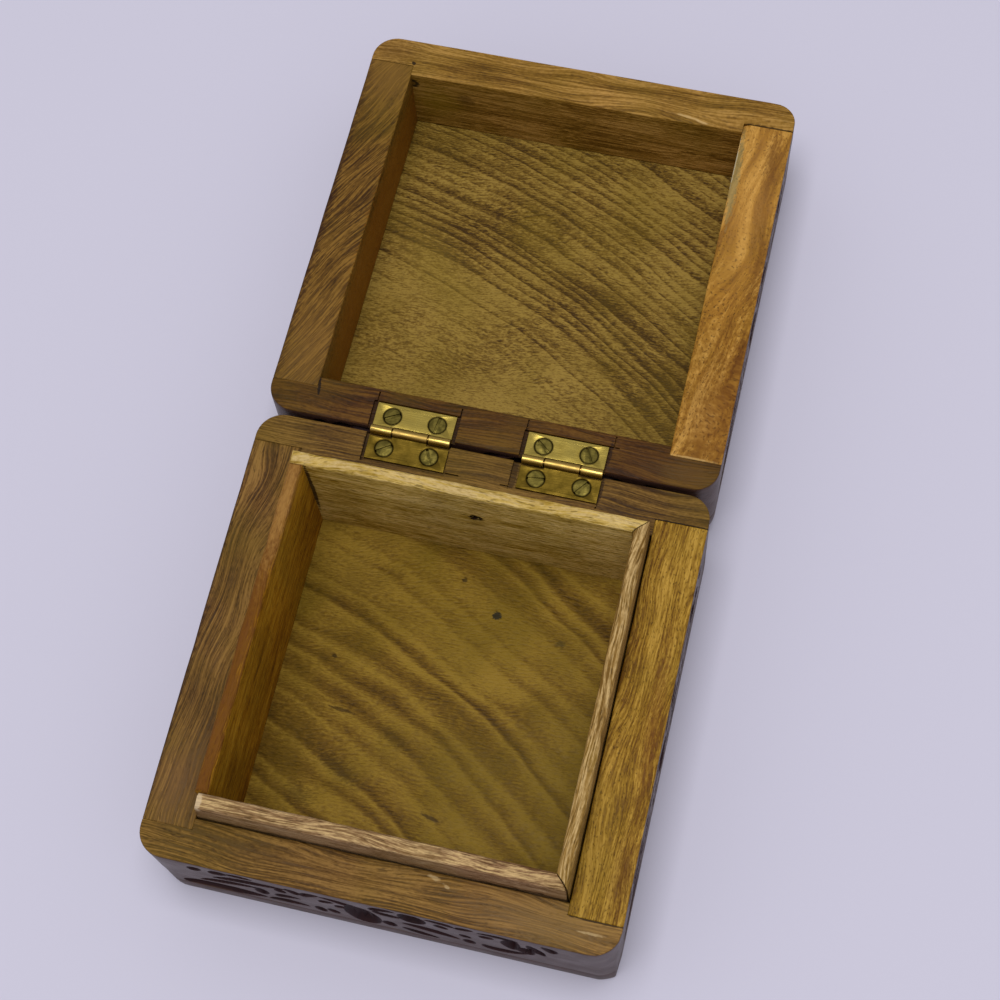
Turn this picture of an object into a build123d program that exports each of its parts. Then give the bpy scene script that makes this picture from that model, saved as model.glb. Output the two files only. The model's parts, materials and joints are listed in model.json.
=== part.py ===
from build123d import *
import math
import os

# Sizes of the box, in mm
box_width = 101.6
box_depth = 100.8
base_height = 31.4
corner_radius = 6.0
lid_edge_radius = 3.0
base_panel_thickness = 6.2
lid_panel_thickness = 7.2

# Thicknesses of the walls, and how far the side walls' ends stay inside the rounded corners
front_wall_thickness = 9.5
base_back_wall_thickness = 10.8
lid_back_wall_thickness = 9.3
base_left_wall_thickness = 10.9
base_right_wall_thickness = 11.5
lid_left_wall_thickness = 10.4
lid_right_wall_thickness = 11.6
corner_to_joint = 1.0

# Liner strips that stand inside the base
liner_thickness = 3.0
liner_proud = 9.3
liner_top_round = 1.0
liner_side_gap = 0.3
liner_back_gap = 0.15
liner_mitre_gap = 0.25
lid_swing_clearance = 0.35

# Hinges
hinge_centre_x = 17.1
hinge_length = 18.0
middle_knuckle_length = 7.8
knuckle_gap = 0.3
barrel_radius = 1.05
pin_radius = 0.5
pin_fit = 0.05
leaf_thickness = 0.75
leaf_reach = 6.8
knuckle_clearance = 0.35
mortise_clearance = 0.3
rim_gap = 0.3

# Screws of the hinges
screw_spacing = 10.2
screw_from_axis = 3.9
screw_head_radius = 2.0
screw_head_rim = 0.15
screw_shank_radius = 0.95
screw_length = 9.0
screw_fit = 0.04
slot_width = 0.6
slot_depth = 0.45
base_slot_angles = (32.0, 115.0, 8.0, 52.0)
lid_slot_angles = (28.0, 84.0, 140.0, 118.0)

# How far the lid opens past flat, in degrees, and the room left behind it
open_past_flat = 2.5
back_clearance = 0.25

# Places that follow from the sizes above
half_width = box_width / 2
half_depth = box_depth / 2
end_lap = corner_radius + corner_to_joint
axis_drop = rim_gap / 2
past_flat = math.radians(open_past_flat)

# The open lid leans back until its far edge meets the table, which sets its height
lean_room = base_height + axis_drop - lid_edge_radius
lean_room -= (box_depth - lid_edge_radius + back_clearance / 2) * math.sin(past_flat)
lid_drop = lean_room / (math.cos(past_flat) + math.sin(past_flat) ** 2 / 2)
lid_height = lid_drop + lid_edge_radius - axis_drop
hinge_gap = lid_drop * math.sin(past_flat) + back_clearance
axis_y = half_depth + hinge_gap / 2
axis_z = base_height + axis_drop

# Inner faces of the base walls, and outer faces of the liner strips, clear of the base's and the lid's walls
base_inner_left = base_left_wall_thickness - half_width
base_inner_right = half_width - base_right_wall_thickness
base_inner_front = front_wall_thickness - half_depth
base_inner_back = half_depth - base_back_wall_thickness
liner_left_x = max(base_left_wall_thickness, lid_left_wall_thickness) + liner_side_gap - half_width
liner_right_x = half_width - max(base_right_wall_thickness, lid_right_wall_thickness) - liner_side_gap
liner_back_y = half_depth - max(base_back_wall_thickness, lid_back_wall_thickness) - liner_back_gap

# The front strip keeps clear of the lid's front wall as it swings down
lid_inner_reach = hinge_gap / 2 + box_depth - front_wall_thickness - lid_swing_clearance
liner_rise = liner_proud - axis_drop
liner_front_y = axis_y - math.sqrt(lid_inner_reach**2 - liner_rise**2)
liner_top_z = base_height + liner_proud

# The lid lying flat, before it leans: its rim is up and level with the base
lid_near_y = half_depth + hinge_gap
lid_far_y = lid_near_y + box_depth
lid_under_z = base_height - lid_height
lid_floor_z = lid_under_z + lid_panel_thickness
lid_inner_near = lid_near_y + lid_back_wall_thickness
lid_inner_far = lid_far_y - front_wall_thickness

# Hinge parts
outer_knuckle_length = (hinge_length - middle_knuckle_length) / 2 - knuckle_gap
leaf_under_z = axis_z - barrel_radius
leaf_face_z = leaf_under_z + leaf_thickness
screw_head_height = screw_head_rim + screw_head_radius - screw_shank_radius
hinge_centres = (-hinge_centre_x, hinge_centre_x)


def block(x0, x1, y0, y1, z0, z1):
    """Box between two corners."""
    solid = Box(x1 - x0, y1 - y0, z1 - z0)
    return Pos((x0 + x1) / 2, (y0 + y1) / 2, (z0 + z1) / 2) * solid


def rounded_block(y0, y1, z0, z1):
    """Full-width block of the box with its four upright corners rounded."""
    solid = block(-half_width, half_width, y0, y1, z0, z1)
    return fillet(solid.edges().filter_by(Axis.Z), corner_radius)


def cylinder_x(radius, length, x):
    """Cylinder along X on the hinge axis, centred at x."""
    return Pos(x, axis_y, axis_z) * Rot(0, 90, 0) * Cylinder(radius, length)


def lean(solid):
    """Turn a lid piece from flat to its resting place past flat."""
    return solid.rotate(Axis((0, axis_y, axis_z), (1, 0, 0)), -open_past_flat)


def ends_walls(outline, z0, z1, left, right, front_y, back_y):
    """Front and back walls of one half, with a rabbet at each end for the side walls.

    The outline is the rounded block of the whole half. Left and right are the side walls' thicknesses, front_y
    and back_y the inner faces.
    """
    box = outline.bounding_box()
    x0 = left - half_width
    x1 = half_width - right
    front = outline & block(-half_width, half_width, box.min.Y, front_y, z0, z1)
    back = outline & block(-half_width, half_width, back_y, box.max.Y, z0, z1)
    front_joint = box.min.Y + end_lap
    back_joint = box.max.Y - end_lap
    for low, high in ((-half_width, x0), (x1, half_width)):
        front -= block(low, high, front_joint, front_y, z0, z1)
        back -= block(low, high, back_y, back_joint, z0, z1)
    return front, back, front_joint, back_joint


def hinge_mortise(x, side):
    """Space cut in a back wall for one hinge leaf. Side is -1 for the base and 1 for the lid."""
    half = hinge_length / 2 + mortise_clearance
    reach = leaf_reach + mortise_clearance
    y0, y1 = sorted((axis_y, axis_y + side * reach))
    cut = block(x - half, x + half, y0, y1, leaf_under_z, axis_z + barrel_radius)
    for centre, length in other_knuckles(x, side):
        half = length / 2 + knuckle_gap
        room = barrel_radius + knuckle_clearance
        cut += block(centre - half, centre + half, axis_y - room, axis_y + room, axis_z - room, axis_z + room)
    for screw_x in (x - screw_spacing / 2, x + screw_spacing / 2):
        cut += screw_space(screw_x, axis_y + side * screw_from_axis)
    return cut


def own_knuckles(x, side):
    """Centre and length of the knuckles a leaf carries: the middle one on the base, the outer two on the lid."""
    outer = middle_knuckle_length / 2 + knuckle_gap + outer_knuckle_length / 2
    if side < 0:
        return ((x, middle_knuckle_length),)
    return ((x - outer, outer_knuckle_length), (x + outer, outer_knuckle_length))


def other_knuckles(x, side):
    """Centre and length of the knuckles carried by the leaf opposite."""
    return own_knuckles(x, -side)


def hinge_leaf(x, side):
    """One leaf with its knuckles, countersunk for two screws and bored for the pin."""
    y0, y1 = sorted((axis_y, axis_y + side * leaf_reach))
    half = hinge_length / 2
    leaf = block(x - half, x + half, y0, y1, leaf_under_z, leaf_face_z)
    for centre, length in other_knuckles(x, side):
        half = length / 2 + knuckle_gap
        room = barrel_radius + knuckle_clearance
        leaf -= block(centre - half, centre + half, axis_y - room, axis_y + room, leaf_under_z, leaf_face_z)
    for centre, length in own_knuckles(x, side):
        leaf += cylinder_x(barrel_radius, length, centre)
    leaf -= cylinder_x(pin_radius + pin_fit, hinge_length, x)
    for screw_x in (x - screw_spacing / 2, x + screw_spacing / 2):
        leaf -= screw_space(screw_x, axis_y + side * screw_from_axis)
    return leaf


def screw_body(x, y, grow):
    """Countersunk screw, head up, its head level with the leaf. Grow widens it into the space it needs."""
    head = screw_head_radius + grow
    shank = screw_shank_radius + grow
    rim_z = leaf_face_z - screw_head_rim
    neck_z = leaf_face_z - screw_head_height
    solid = Pos(x, y, (leaf_face_z + rim_z) / 2) * Cylinder(head, screw_head_rim)
    solid += Pos(x, y, (rim_z + neck_z) / 2) * Cone(shank, head, rim_z - neck_z)
    foot_z = leaf_face_z - screw_length - grow
    solid += Pos(x, y, (neck_z + foot_z) / 2) * Cylinder(shank, neck_z - foot_z)
    return solid


def screw_space(x, y):
    """Space that a screw takes up in the leaf and the wood."""
    return screw_body(x, y, screw_fit)


def screw(x, y, angle):
    """Countersunk screw with its slot turned by an angle."""
    slot = Box(3 * screw_head_radius, slot_width, 2 * slot_depth)
    return screw_body(x, y, 0) - Pos(x, y, leaf_face_z) * Rot(0, 0, angle) * slot


def hinge_screws(side, angles):
    """The screws of both leaves on one side."""
    places = [x + step * screw_spacing / 2 for x in hinge_centres for step in (-1, 1)]
    return [screw(x, axis_y + side * screw_from_axis, angle) for x, angle in zip(places, angles)]


def liner_strip(corners, along):
    """Upright strip on the bottom panel, its long top edges rounded. Corners are its plan."""
    plan = make_face(Polyline(*corners, close=True))
    height = liner_top_z - base_panel_thickness
    strip = Pos(0, 0, base_panel_thickness) * extrude(plan, height)
    top = strip.faces().sort_by(Axis.Z)[-1]
    return fillet(top.edges().filter_by(along), liner_top_round)


def liner_strips():
    """Four liner strips. The front and back ones run to the left wall; the right one is mitred between them."""
    x0 = liner_left_x
    x1 = liner_right_x
    y0 = liner_front_y
    y1 = liner_back_y
    t = liner_thickness
    slip = liner_mitre_gap * math.sqrt(2)
    front = liner_strip([(x0, y0), (x1 - slip, y0), (x1 - t - slip, y0 + t), (x0, y0 + t)], Axis.X)
    back = liner_strip([(x0, y1), (x1 - slip, y1), (x1 - t - slip, y1 - t), (x0, y1 - t)], Axis.X)
    left = liner_strip([(x0, y0 + t), (x0 + t, y0 + t), (x0 + t, y1 - t), (x0, y1 - t)], Axis.Y)
    right = liner_strip([(x1, y0), (x1, y1), (x1 - t, y1 - t), (x1 - t, y0 + t)], Axis.Y)
    return {"liner_front": front, "liner_back": back, "liner_left": left, "liner_right": right}


def base_pieces():
    """Panel, walls and liner strips of the base."""
    outline = rounded_block(-half_depth, half_depth, 0, base_height)
    z0 = base_panel_thickness
    z1 = base_height
    front, back, front_joint, back_joint = ends_walls(
        outline, z0, z1, base_left_wall_thickness, base_right_wall_thickness, base_inner_front, base_inner_back
    )
    for x in hinge_centres:
        back -= hinge_mortise(x, -1)
    pieces = {
        "base_bottom_panel": rounded_block(-half_depth, half_depth, 0, z0),
        "base_front_wall": front,
        "base_back_wall": back,
        "base_left_wall": block(-half_width, base_inner_left, front_joint, back_joint, z0, z1),
        "base_right_wall": block(base_inner_right, half_width, front_joint, back_joint, z0, z1),
    }
    pieces.update(liner_strips())
    return pieces


def lid_pieces():
    """Panel and walls of the lid, built flat. Its back wall is the near one, with the hinges."""
    outline = rounded_block(lid_near_y, lid_far_y, lid_under_z, base_height)
    z0 = lid_floor_z
    z1 = base_height
    near, far, near_joint, far_joint = ends_walls(
        outline, z0, z1, lid_left_wall_thickness, lid_right_wall_thickness, lid_inner_near, lid_inner_far
    )
    for x in hinge_centres:
        near -= hinge_mortise(x, 1)
    panel = rounded_block(lid_near_y, lid_far_y, lid_under_z, z0)
    under = panel.faces().sort_by(Axis.Z)[0]
    return {
        "lid_top_panel": fillet(under.edges(), lid_edge_radius),
        "lid_back_wall": near,
        "lid_front_wall": far,
        "lid_left_wall": block(-half_width, lid_left_wall_thickness - half_width, near_joint, far_joint, z0, z1),
        "lid_right_wall": block(half_width - lid_right_wall_thickness, half_width, near_joint, far_joint, z0, z1),
    }


def build():
    """All pieces by name, the lid's ones leaning back as it rests open."""
    pieces = base_pieces()
    pieces["base_hinge_screws"] = Compound(children=hinge_screws(-1, base_slot_angles))
    for name, solid in lid_pieces().items():
        pieces[name] = lean(solid)
    pieces["lid_hinge_screws"] = Compound(children=[lean(s) for s in hinge_screws(1, lid_slot_angles)])
    for name, x in zip(("left", "right"), hinge_centres):
        pieces[name + "_hinge_base_leaf"] = hinge_leaf(x, -1)
        pieces[name + "_hinge_lid_leaf"] = lean(hinge_leaf(x, 1))
        pieces[name + "_hinge_pin"] = cylinder_x(pin_radius, hinge_length, x)
    return pieces


os.makedirs("parts", exist_ok=True)
for piece_name, piece in build().items():
    export_step(piece, "parts/" + piece_name + ".step")
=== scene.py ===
"""Looks of a small hinged kumkum box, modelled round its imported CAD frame.

The box stands open: a carved base tray with a raised liner, a lid tray laid back, and two brass butt hinges.
Every wooden board is modelled flat in the frame of its own tray, and the boards of the lid are then leaned
back about the hinge line, as the frame has them at rest.
"""

import json
import logging
import math
from collections.abc import Callable
from collections.abc import Iterator
from contextlib import contextmanager
from dataclasses import dataclass
from dataclasses import field
from dataclasses import replace
from enum import Enum

import bmesh
import bpy
import numpy as np
from mathutils import Matrix
from mathutils import Vector
from mathutils import noise

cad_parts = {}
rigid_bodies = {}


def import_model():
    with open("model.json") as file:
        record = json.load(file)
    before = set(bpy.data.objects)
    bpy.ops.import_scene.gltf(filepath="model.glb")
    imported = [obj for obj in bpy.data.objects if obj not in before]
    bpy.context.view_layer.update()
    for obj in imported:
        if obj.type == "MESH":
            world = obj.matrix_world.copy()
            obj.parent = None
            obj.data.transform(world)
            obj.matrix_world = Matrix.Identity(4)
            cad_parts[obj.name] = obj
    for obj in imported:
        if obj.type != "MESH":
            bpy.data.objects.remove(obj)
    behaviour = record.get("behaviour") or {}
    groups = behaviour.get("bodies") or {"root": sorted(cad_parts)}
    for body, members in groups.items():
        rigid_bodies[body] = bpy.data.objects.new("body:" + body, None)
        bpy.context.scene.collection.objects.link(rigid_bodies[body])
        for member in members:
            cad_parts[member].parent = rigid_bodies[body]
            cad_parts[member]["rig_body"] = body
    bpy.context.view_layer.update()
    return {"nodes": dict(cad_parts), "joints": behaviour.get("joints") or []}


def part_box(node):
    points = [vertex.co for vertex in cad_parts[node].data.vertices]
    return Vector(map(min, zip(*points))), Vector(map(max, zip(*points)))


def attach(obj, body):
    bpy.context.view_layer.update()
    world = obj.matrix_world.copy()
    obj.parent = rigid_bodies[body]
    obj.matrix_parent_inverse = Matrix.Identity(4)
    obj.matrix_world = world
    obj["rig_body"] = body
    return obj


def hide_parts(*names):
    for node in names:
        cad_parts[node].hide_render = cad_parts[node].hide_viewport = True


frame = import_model()
LOG = logging.getLogger("kumkum_box")
MM = 0.001
JOINT = frame["joints"][0]
HINGE_LINE = Vector(JOINT["pos_m"])
LEAN = math.radians(180.0 - JOINT["range_deg"][1])
LEAN_BACK = Matrix.Translation(HINGE_LINE) @ Matrix.Rotation(LEAN, 4, "X") @ Matrix.Translation(-HINGE_LINE)
STAINED = "stained_mm"
OVERCUT = 5 * MM
SAME = 1e-7
TOUCHING = 1e-6
SHARP_DEG = 40.0
SMOOTH_DEG = 35.0
WEAR_SEED = 7


class Body(Enum):
    """The two bodies that the pieces ride on."""

    BASE = "base"
    LID = "lid"


class Facing(Enum):
    """Which way a carved outer face looks, with the lid laid open."""

    FRONT = "front"
    BACK = "back"
    LEFT = "left"
    RIGHT = "right"
    DOWN = "down"


# Small tools for nodes and colours

Socket = bpy.types.NodeSocket
Value = Socket | float
Rgba = tuple[float, float, float, float]


def linear(code: str) -> Rgba:
    """Turns an sRGB hex colour into linear light.

    Args:
        code: The colour as #rrggbb.

    Returns:
        Red, green, blue and an alpha of one.
    """
    parts = [int(code[i : i + 2], 16) / 255.0 for i in (1, 3, 5)]
    light = [p / 12.92 if p <= 0.04045 else ((p + 0.055) / 1.055) ** 2.4 for p in parts]
    return light[0], light[1], light[2], 1.0


@dataclass
class Shade:
    """The nodes of one material or of the sky, with a short method for each kind of node in use.

    A value is a number or the output socket of another node, and places are in mm.
    """

    tree: bpy.types.NodeTree

    def add(self, kind: str, inputs: dict, settings: dict | None = None, out: int = 0) -> Socket | None:
        """Adds a node with its settings and links.

        Args:
            kind: The node's type name, without the ShaderNode in front.
            inputs: Values or output sockets, by the name or number of the input that takes them.
            settings: Values of the node itself.
            out: Number of the output to return.

        Returns:
            The chosen output socket, or nothing for a node at the end of the tree.
        """
        node = self.tree.nodes.new(f"ShaderNode{kind}")
        for key, value in (settings or {}).items():
            setattr(node, key, value)
        for key, value in inputs.items():
            if isinstance(value, Socket):
                self.tree.links.new(value, node.inputs[key])
            else:
                node.inputs[key].default_value = value
        return node.outputs[out] if node.outputs else None

    def math(self, operation: str, *values: Value) -> Socket:
        """Works out a number from others."""
        return self.add("Math", dict(enumerate(values)), {"operation": operation})

    def vector(self, operation: str, *values: Socket | tuple[float, float, float], out: int = 0) -> Socket:
        """Works out a vector from others."""
        return self.add("VectorMath", dict(enumerate(values)), {"operation": operation}, out)

    def length(self, vector: Socket) -> Socket:
        """Gives the length of a vector."""
        return self.vector("LENGTH", vector, out=1)

    def axis(self, vector: Socket, number: int) -> Socket:
        """Gives one of the three numbers of a vector."""
        return self.add("SeparateXYZ", {0: vector}, out=number)

    def joined(self, x: Value, y: Value, z: Value = 0.0) -> Socket:
        """Makes a vector of three numbers."""
        return self.add("CombineXYZ", {0: x, 1: y, 2: z})

    def fit(
        self,
        value: Socket,
        low: float,
        high: float,
        to_low: Value = 0.0,
        to_high: Value = 1.0,
        kind: str = "LINEAR",
    ) -> Socket:
        """Moves a value from one range to another, and holds it at the ends."""
        ends = {0: value, 1: low, 2: high, 3: to_low, 4: to_high}
        return self.add("MapRange", ends, {"interpolation_type": kind})

    def mix(self, share: Socket, under: Socket | Rgba, over: Socket | Rgba) -> Socket:
        """Lays one colour over another by a share."""
        return self.add("Mix", {0: share, 6: under, 7: over}, {"data_type": "RGBA"}, 2)

    def ramp(self, value: Socket, stops: tuple[tuple[float, str], ...]) -> Socket:
        """Turns a value into a colour.

        Args:
            value: The value.
            stops: Values, each with its colour in hex.

        Returns:
            The colour as a socket.
        """
        colour = self.add("ValToRGB", {0: value})
        elements = colour.node.color_ramp.elements
        while len(elements) < len(stops):
            elements.new(0.5)
        for element, (place, code) in zip(elements, stops):
            element.position = place
            element.color = linear(code)
        return colour

    def flat_place(self, body: Body) -> Socket:
        """Gives the place on a board in mm of its tray's flat frame.

        Args:
            body: The tray that the board belongs to.

        Returns:
            The place as a vector socket.
        """
        turn = -LEAN if body is Body.LID else 0.0
        shift = (HINGE_LINE - Matrix.Rotation(turn, 3, "X") @ HINGE_LINE) / MM
        moved = {"Location": shift, "Rotation": (turn, 0.0, 0.0), "Scale": (1 / MM,) * 3}
        return self.add("Mapping", {"Vector": self.add("TexCoord", {}, out=3), **moved})

    def cloud(self, place: Socket, size: tuple[float, float], detail: float, spread: float = 0.2) -> Socket:
        """Adds a noise drawn out along the first axis, spread over its full range.

        Args:
            place: The place in mm.
            size: Length and width of the noise in mm.
            detail: How many finer levels it has.
            spread: How far from its middle it reaches black and white, less for crisper borders.

        Returns:
            The noise as a value socket.
        """
        scale = (1 / size[0], 1 / size[1], 1 / size[1])
        drawn = self.add("Mapping", {"Vector": place, "Scale": scale})
        inputs = {"Vector": drawn, "Scale": 1.0, "Detail": detail, "Roughness": 0.6}
        return self.fit(self.add("TexNoise", inputs), 0.5 - spread, 0.5 + spread)

    def bump(self, height: Socket, strength: float, deep_mm: float, under: Socket | None = None) -> Socket:
        """Turns a height into the slant of the surface.

        Args:
            height: The height.
            strength: How much of it shows.
            deep_mm: How deep it is in mm.
            under: The slant of a coarser unevenness below it.

        Returns:
            The slant as a socket.
        """
        inputs = {"Strength": strength, "Distance": deep_mm * MM, "Height": height}
        if under is not None:
            inputs["Normal"] = under
        return self.add("Bump", inputs)

    def surface(self, look: dict) -> None:
        """Ends the material with a surface of one look."""
        self.add("OutputMaterial", {"Surface": self.add("BsdfPrincipled", look)})


def new_material(name: str) -> tuple[bpy.types.Material, Shade]:
    """Makes an empty node material.

    Args:
        name: What the material is.

    Returns:
        The material and its nodes.
    """
    material = bpy.data.materials.new(name)
    material.use_nodes = True
    material.node_tree.nodes.clear()
    return material, Shade(material.node_tree)


# Small tools for meshes

Edge = bmesh.types.BMEdge
Face = bmesh.types.BMFace


def only(obj: bpy.types.Object) -> None:
    """Makes one object the selected and active one.

    Args:
        obj: The object.
    """
    bpy.ops.object.select_all(action="DESELECT")
    obj.select_set(True)
    bpy.context.view_layer.objects.active = obj


@contextmanager
def editing(obj: bpy.types.Object) -> Iterator[None]:
    """Keeps a piece in edit mode for the length of a with block.

    Args:
        obj: The piece, in object mode.

    Yields:
        Nothing, while the piece is in edit mode.
    """
    only(obj)
    bpy.ops.object.mode_set(mode="EDIT")
    yield
    bpy.ops.object.mode_set(mode="OBJECT")


def on_axis(axis: int, size: float) -> Vector:
    """Gives a vector of a size along one axis."""
    return Vector([size if i == axis else 0.0 for i in range(3)])


def add_box(name: str, lo: Vector, hi: Vector) -> bpy.types.Object:
    """Adds a block between two corners, with its place in its mesh.

    Args:
        name: The object's name.
        lo: Lowest corner in metres.
        hi: Highest corner in metres.

    Returns:
        The new object.
    """
    bpy.ops.object.select_all(action="DESELECT")
    bpy.ops.mesh.primitive_cube_add(size=1.0, location=(lo + hi) / 2)
    obj = bpy.context.object
    obj.name = name
    obj.scale = hi - lo
    bpy.ops.object.transform_apply(location=True, rotation=True, scale=True)
    return obj


def add_rod(name: str, start: Vector, end: Vector, radius: float, sides: int = 24) -> bpy.types.Object:
    """Adds a round rod between two points, with its place in its mesh.

    Args:
        name: The object's name.
        start: Centre of one end in metres.
        end: Centre of the other end in metres.
        radius: Radius in metres.
        sides: Number of sides.

    Returns:
        The new object.
    """
    run = end - start
    bpy.ops.object.select_all(action="DESELECT")
    bpy.ops.mesh.primitive_cylinder_add(vertices=sides, radius=radius, depth=run.length)
    obj = bpy.context.object
    obj.name = name
    turn = run.to_track_quat("Z", "Y").to_matrix().to_4x4()
    obj.data.transform(Matrix.Translation((start + end) / 2) @ turn)
    return obj


def pick(obj: bpy.types.Object, kind: str, test: Callable[[Edge | Face], bool]) -> int:
    """Selects in edit mode the edges or the faces that a test accepts.

    Args:
        obj: The object, which is in edit mode.
        kind: EDGE or FACE.
        test: Says whether an edge or a face is taken.

    Returns:
        How many are selected.
    """
    bpy.ops.mesh.select_mode(type=kind)
    bpy.ops.mesh.select_all(action="DESELECT")
    mesh = bmesh.from_edit_mesh(obj.data)
    taken = [part for part in (mesh.edges if kind == "EDGE" else mesh.faces) if test(part)]
    for part in taken:
        part.select_set(True)
    bmesh.update_edit_mesh(obj.data)
    return len(taken)


def round_edges(obj: bpy.types.Object, test: Callable[[Edge], bool], width: float, segments: int) -> None:
    """Rounds the edges that a test accepts.

    Args:
        obj: The object, in object mode.
        test: Says whether an edge is rounded.
        width: Size of the rounding in metres.
        segments: Number of faces across the rounding.
    """
    with editing(obj):
        if pick(obj, "EDGE", test):
            shape = {"profile": 0.5, "affect": "EDGES", "clamp_overlap": True}
            bpy.ops.mesh.bevel(offset=width, segments=segments, **shape)


def slice_across(obj: bpy.types.Object, axis: int, places: list[float]) -> None:
    """Cuts new edges round a piece, square to an axis.

    Args:
        obj: The object, in object mode.
        axis: Number of the axis that the cuts are square to.
        places: Where the cuts are, in metres.
    """
    with editing(obj):
        for place in places:
            bpy.ops.mesh.select_all(action="SELECT")
            bpy.ops.mesh.bisect(plane_co=on_axis(axis, place), plane_no=on_axis(axis, 1.0))


def evenly(start: float, end: float, step: float) -> list[float]:
    """Gives places from start to end, both included, about a step apart."""
    return [float(p) for p in np.linspace(start, end, max(1, round((end - start) / step)) + 1)]


def trim(obj: bpy.types.Object, point: Vector, out: Vector) -> None:
    """Saws off what lies beyond a plane and closes the cut.

    Args:
        obj: The object, in object mode.
        point: A point of the plane in metres.
        out: The side that is sawn off.
    """
    with editing(obj):
        bpy.ops.mesh.select_all(action="SELECT")
        bpy.ops.mesh.bisect(plane_co=point, plane_no=out, use_fill=True, clear_outer=True)


def cut_away(obj: bpy.types.Object, cutters: list[bpy.types.Object]) -> None:
    """Cuts the shapes of some blocks out of a piece and removes the blocks.

    Args:
        obj: The piece.
        cutters: Closed meshes, which may overlap.
    """
    if not cutters:
        return
    bpy.ops.object.select_all(action="DESELECT")
    for cutter in cutters:
        cutter.select_set(True)
    bpy.context.view_layer.objects.active = cutters[0]
    if len(cutters) > 1:
        bpy.ops.object.join()
    tool = bpy.context.view_layer.objects.active
    only(obj)
    cut = obj.modifiers.new("cut", "BOOLEAN")
    cut.operation = "DIFFERENCE"
    cut.solver = "EXACT"
    cut.use_self = True
    cut.object = tool
    bpy.ops.object.modifier_apply(modifier=cut.name)
    bpy.data.objects.remove(tool)


def weather(obj: bpy.types.Object, lo: Vector, hi: Vector, amount: float, size: Vector) -> None:
    """Moves the points of a piece a little in and out, as hand tools and handling leave it.

    Args:
        obj: The piece.
        lo: Lowest corner that no point may pass.
        hi: Highest corner that no point may pass.
        amount: Largest move in metres.
        size: Length of the unevenness along each axis in metres.
    """
    for vertex in obj.data.vertices:
        place = vertex.co
        sample = Vector((place.x / size.x, place.y / size.y, place.z / size.z))
        moved = place + noise.noise_vector(sample) * amount
        vertex.co = Vector([min(max(moved[i], lo[i]), hi[i]) for i in range(3)])


def is_sharp(edge: Edge) -> bool:
    """Says whether the faces at an edge meet at a sharp angle."""
    return len(edge.link_faces) == 2 and edge.calc_face_angle(0.0) > math.radians(SHARP_DEG)


def is_upright(edge: Edge) -> bool:
    """Says whether an edge stands upright."""
    a, b = (v.co for v in edge.verts)
    return abs(a.x - b.x) < SAME and abs(a.y - b.y) < SAME


def smooth(obj: bpy.types.Object) -> None:
    """Merges doubles, points the faces outwards and shades the piece smooth up to an angle.

    Args:
        obj: The piece, in object mode.
    """
    with editing(obj):
        bpy.ops.mesh.select_all(action="SELECT")
        bpy.ops.mesh.remove_doubles(threshold=SAME)
        bpy.ops.mesh.normals_make_consistent(inside=False)
    bpy.ops.object.shade_smooth_by_angle(angle=math.radians(SMOOTH_DEG))


def flat_box(node: str) -> tuple[Vector, Vector]:
    """Gives the box of a CAD node in the flat frame of its tray.

    Args:
        node: The node's name.

    Returns:
        Lowest and highest corner in metres, with the lid's lean taken out.
    """
    obj = frame["nodes"][node]
    back = LEAN_BACK.inverted() if obj["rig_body"] == Body.LID.value else Matrix.Identity(4)
    places = np.array([back @ v.co for v in obj.data.vertices])
    return Vector(places.min(0)), Vector(places.max(0))


# Carving


@dataclass(frozen=True)
class Gouge:
    """One leaf-shaped cut of the carving, along a bent line, in mm of a field of the reference size.

    The line runs from start by way of bend to end, and wide is half the greatest width.
    """

    start: tuple[float, float]
    bend: tuple[float, float]
    end: tuple[float, float]
    wide: float
    blunt: bool = False


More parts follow.
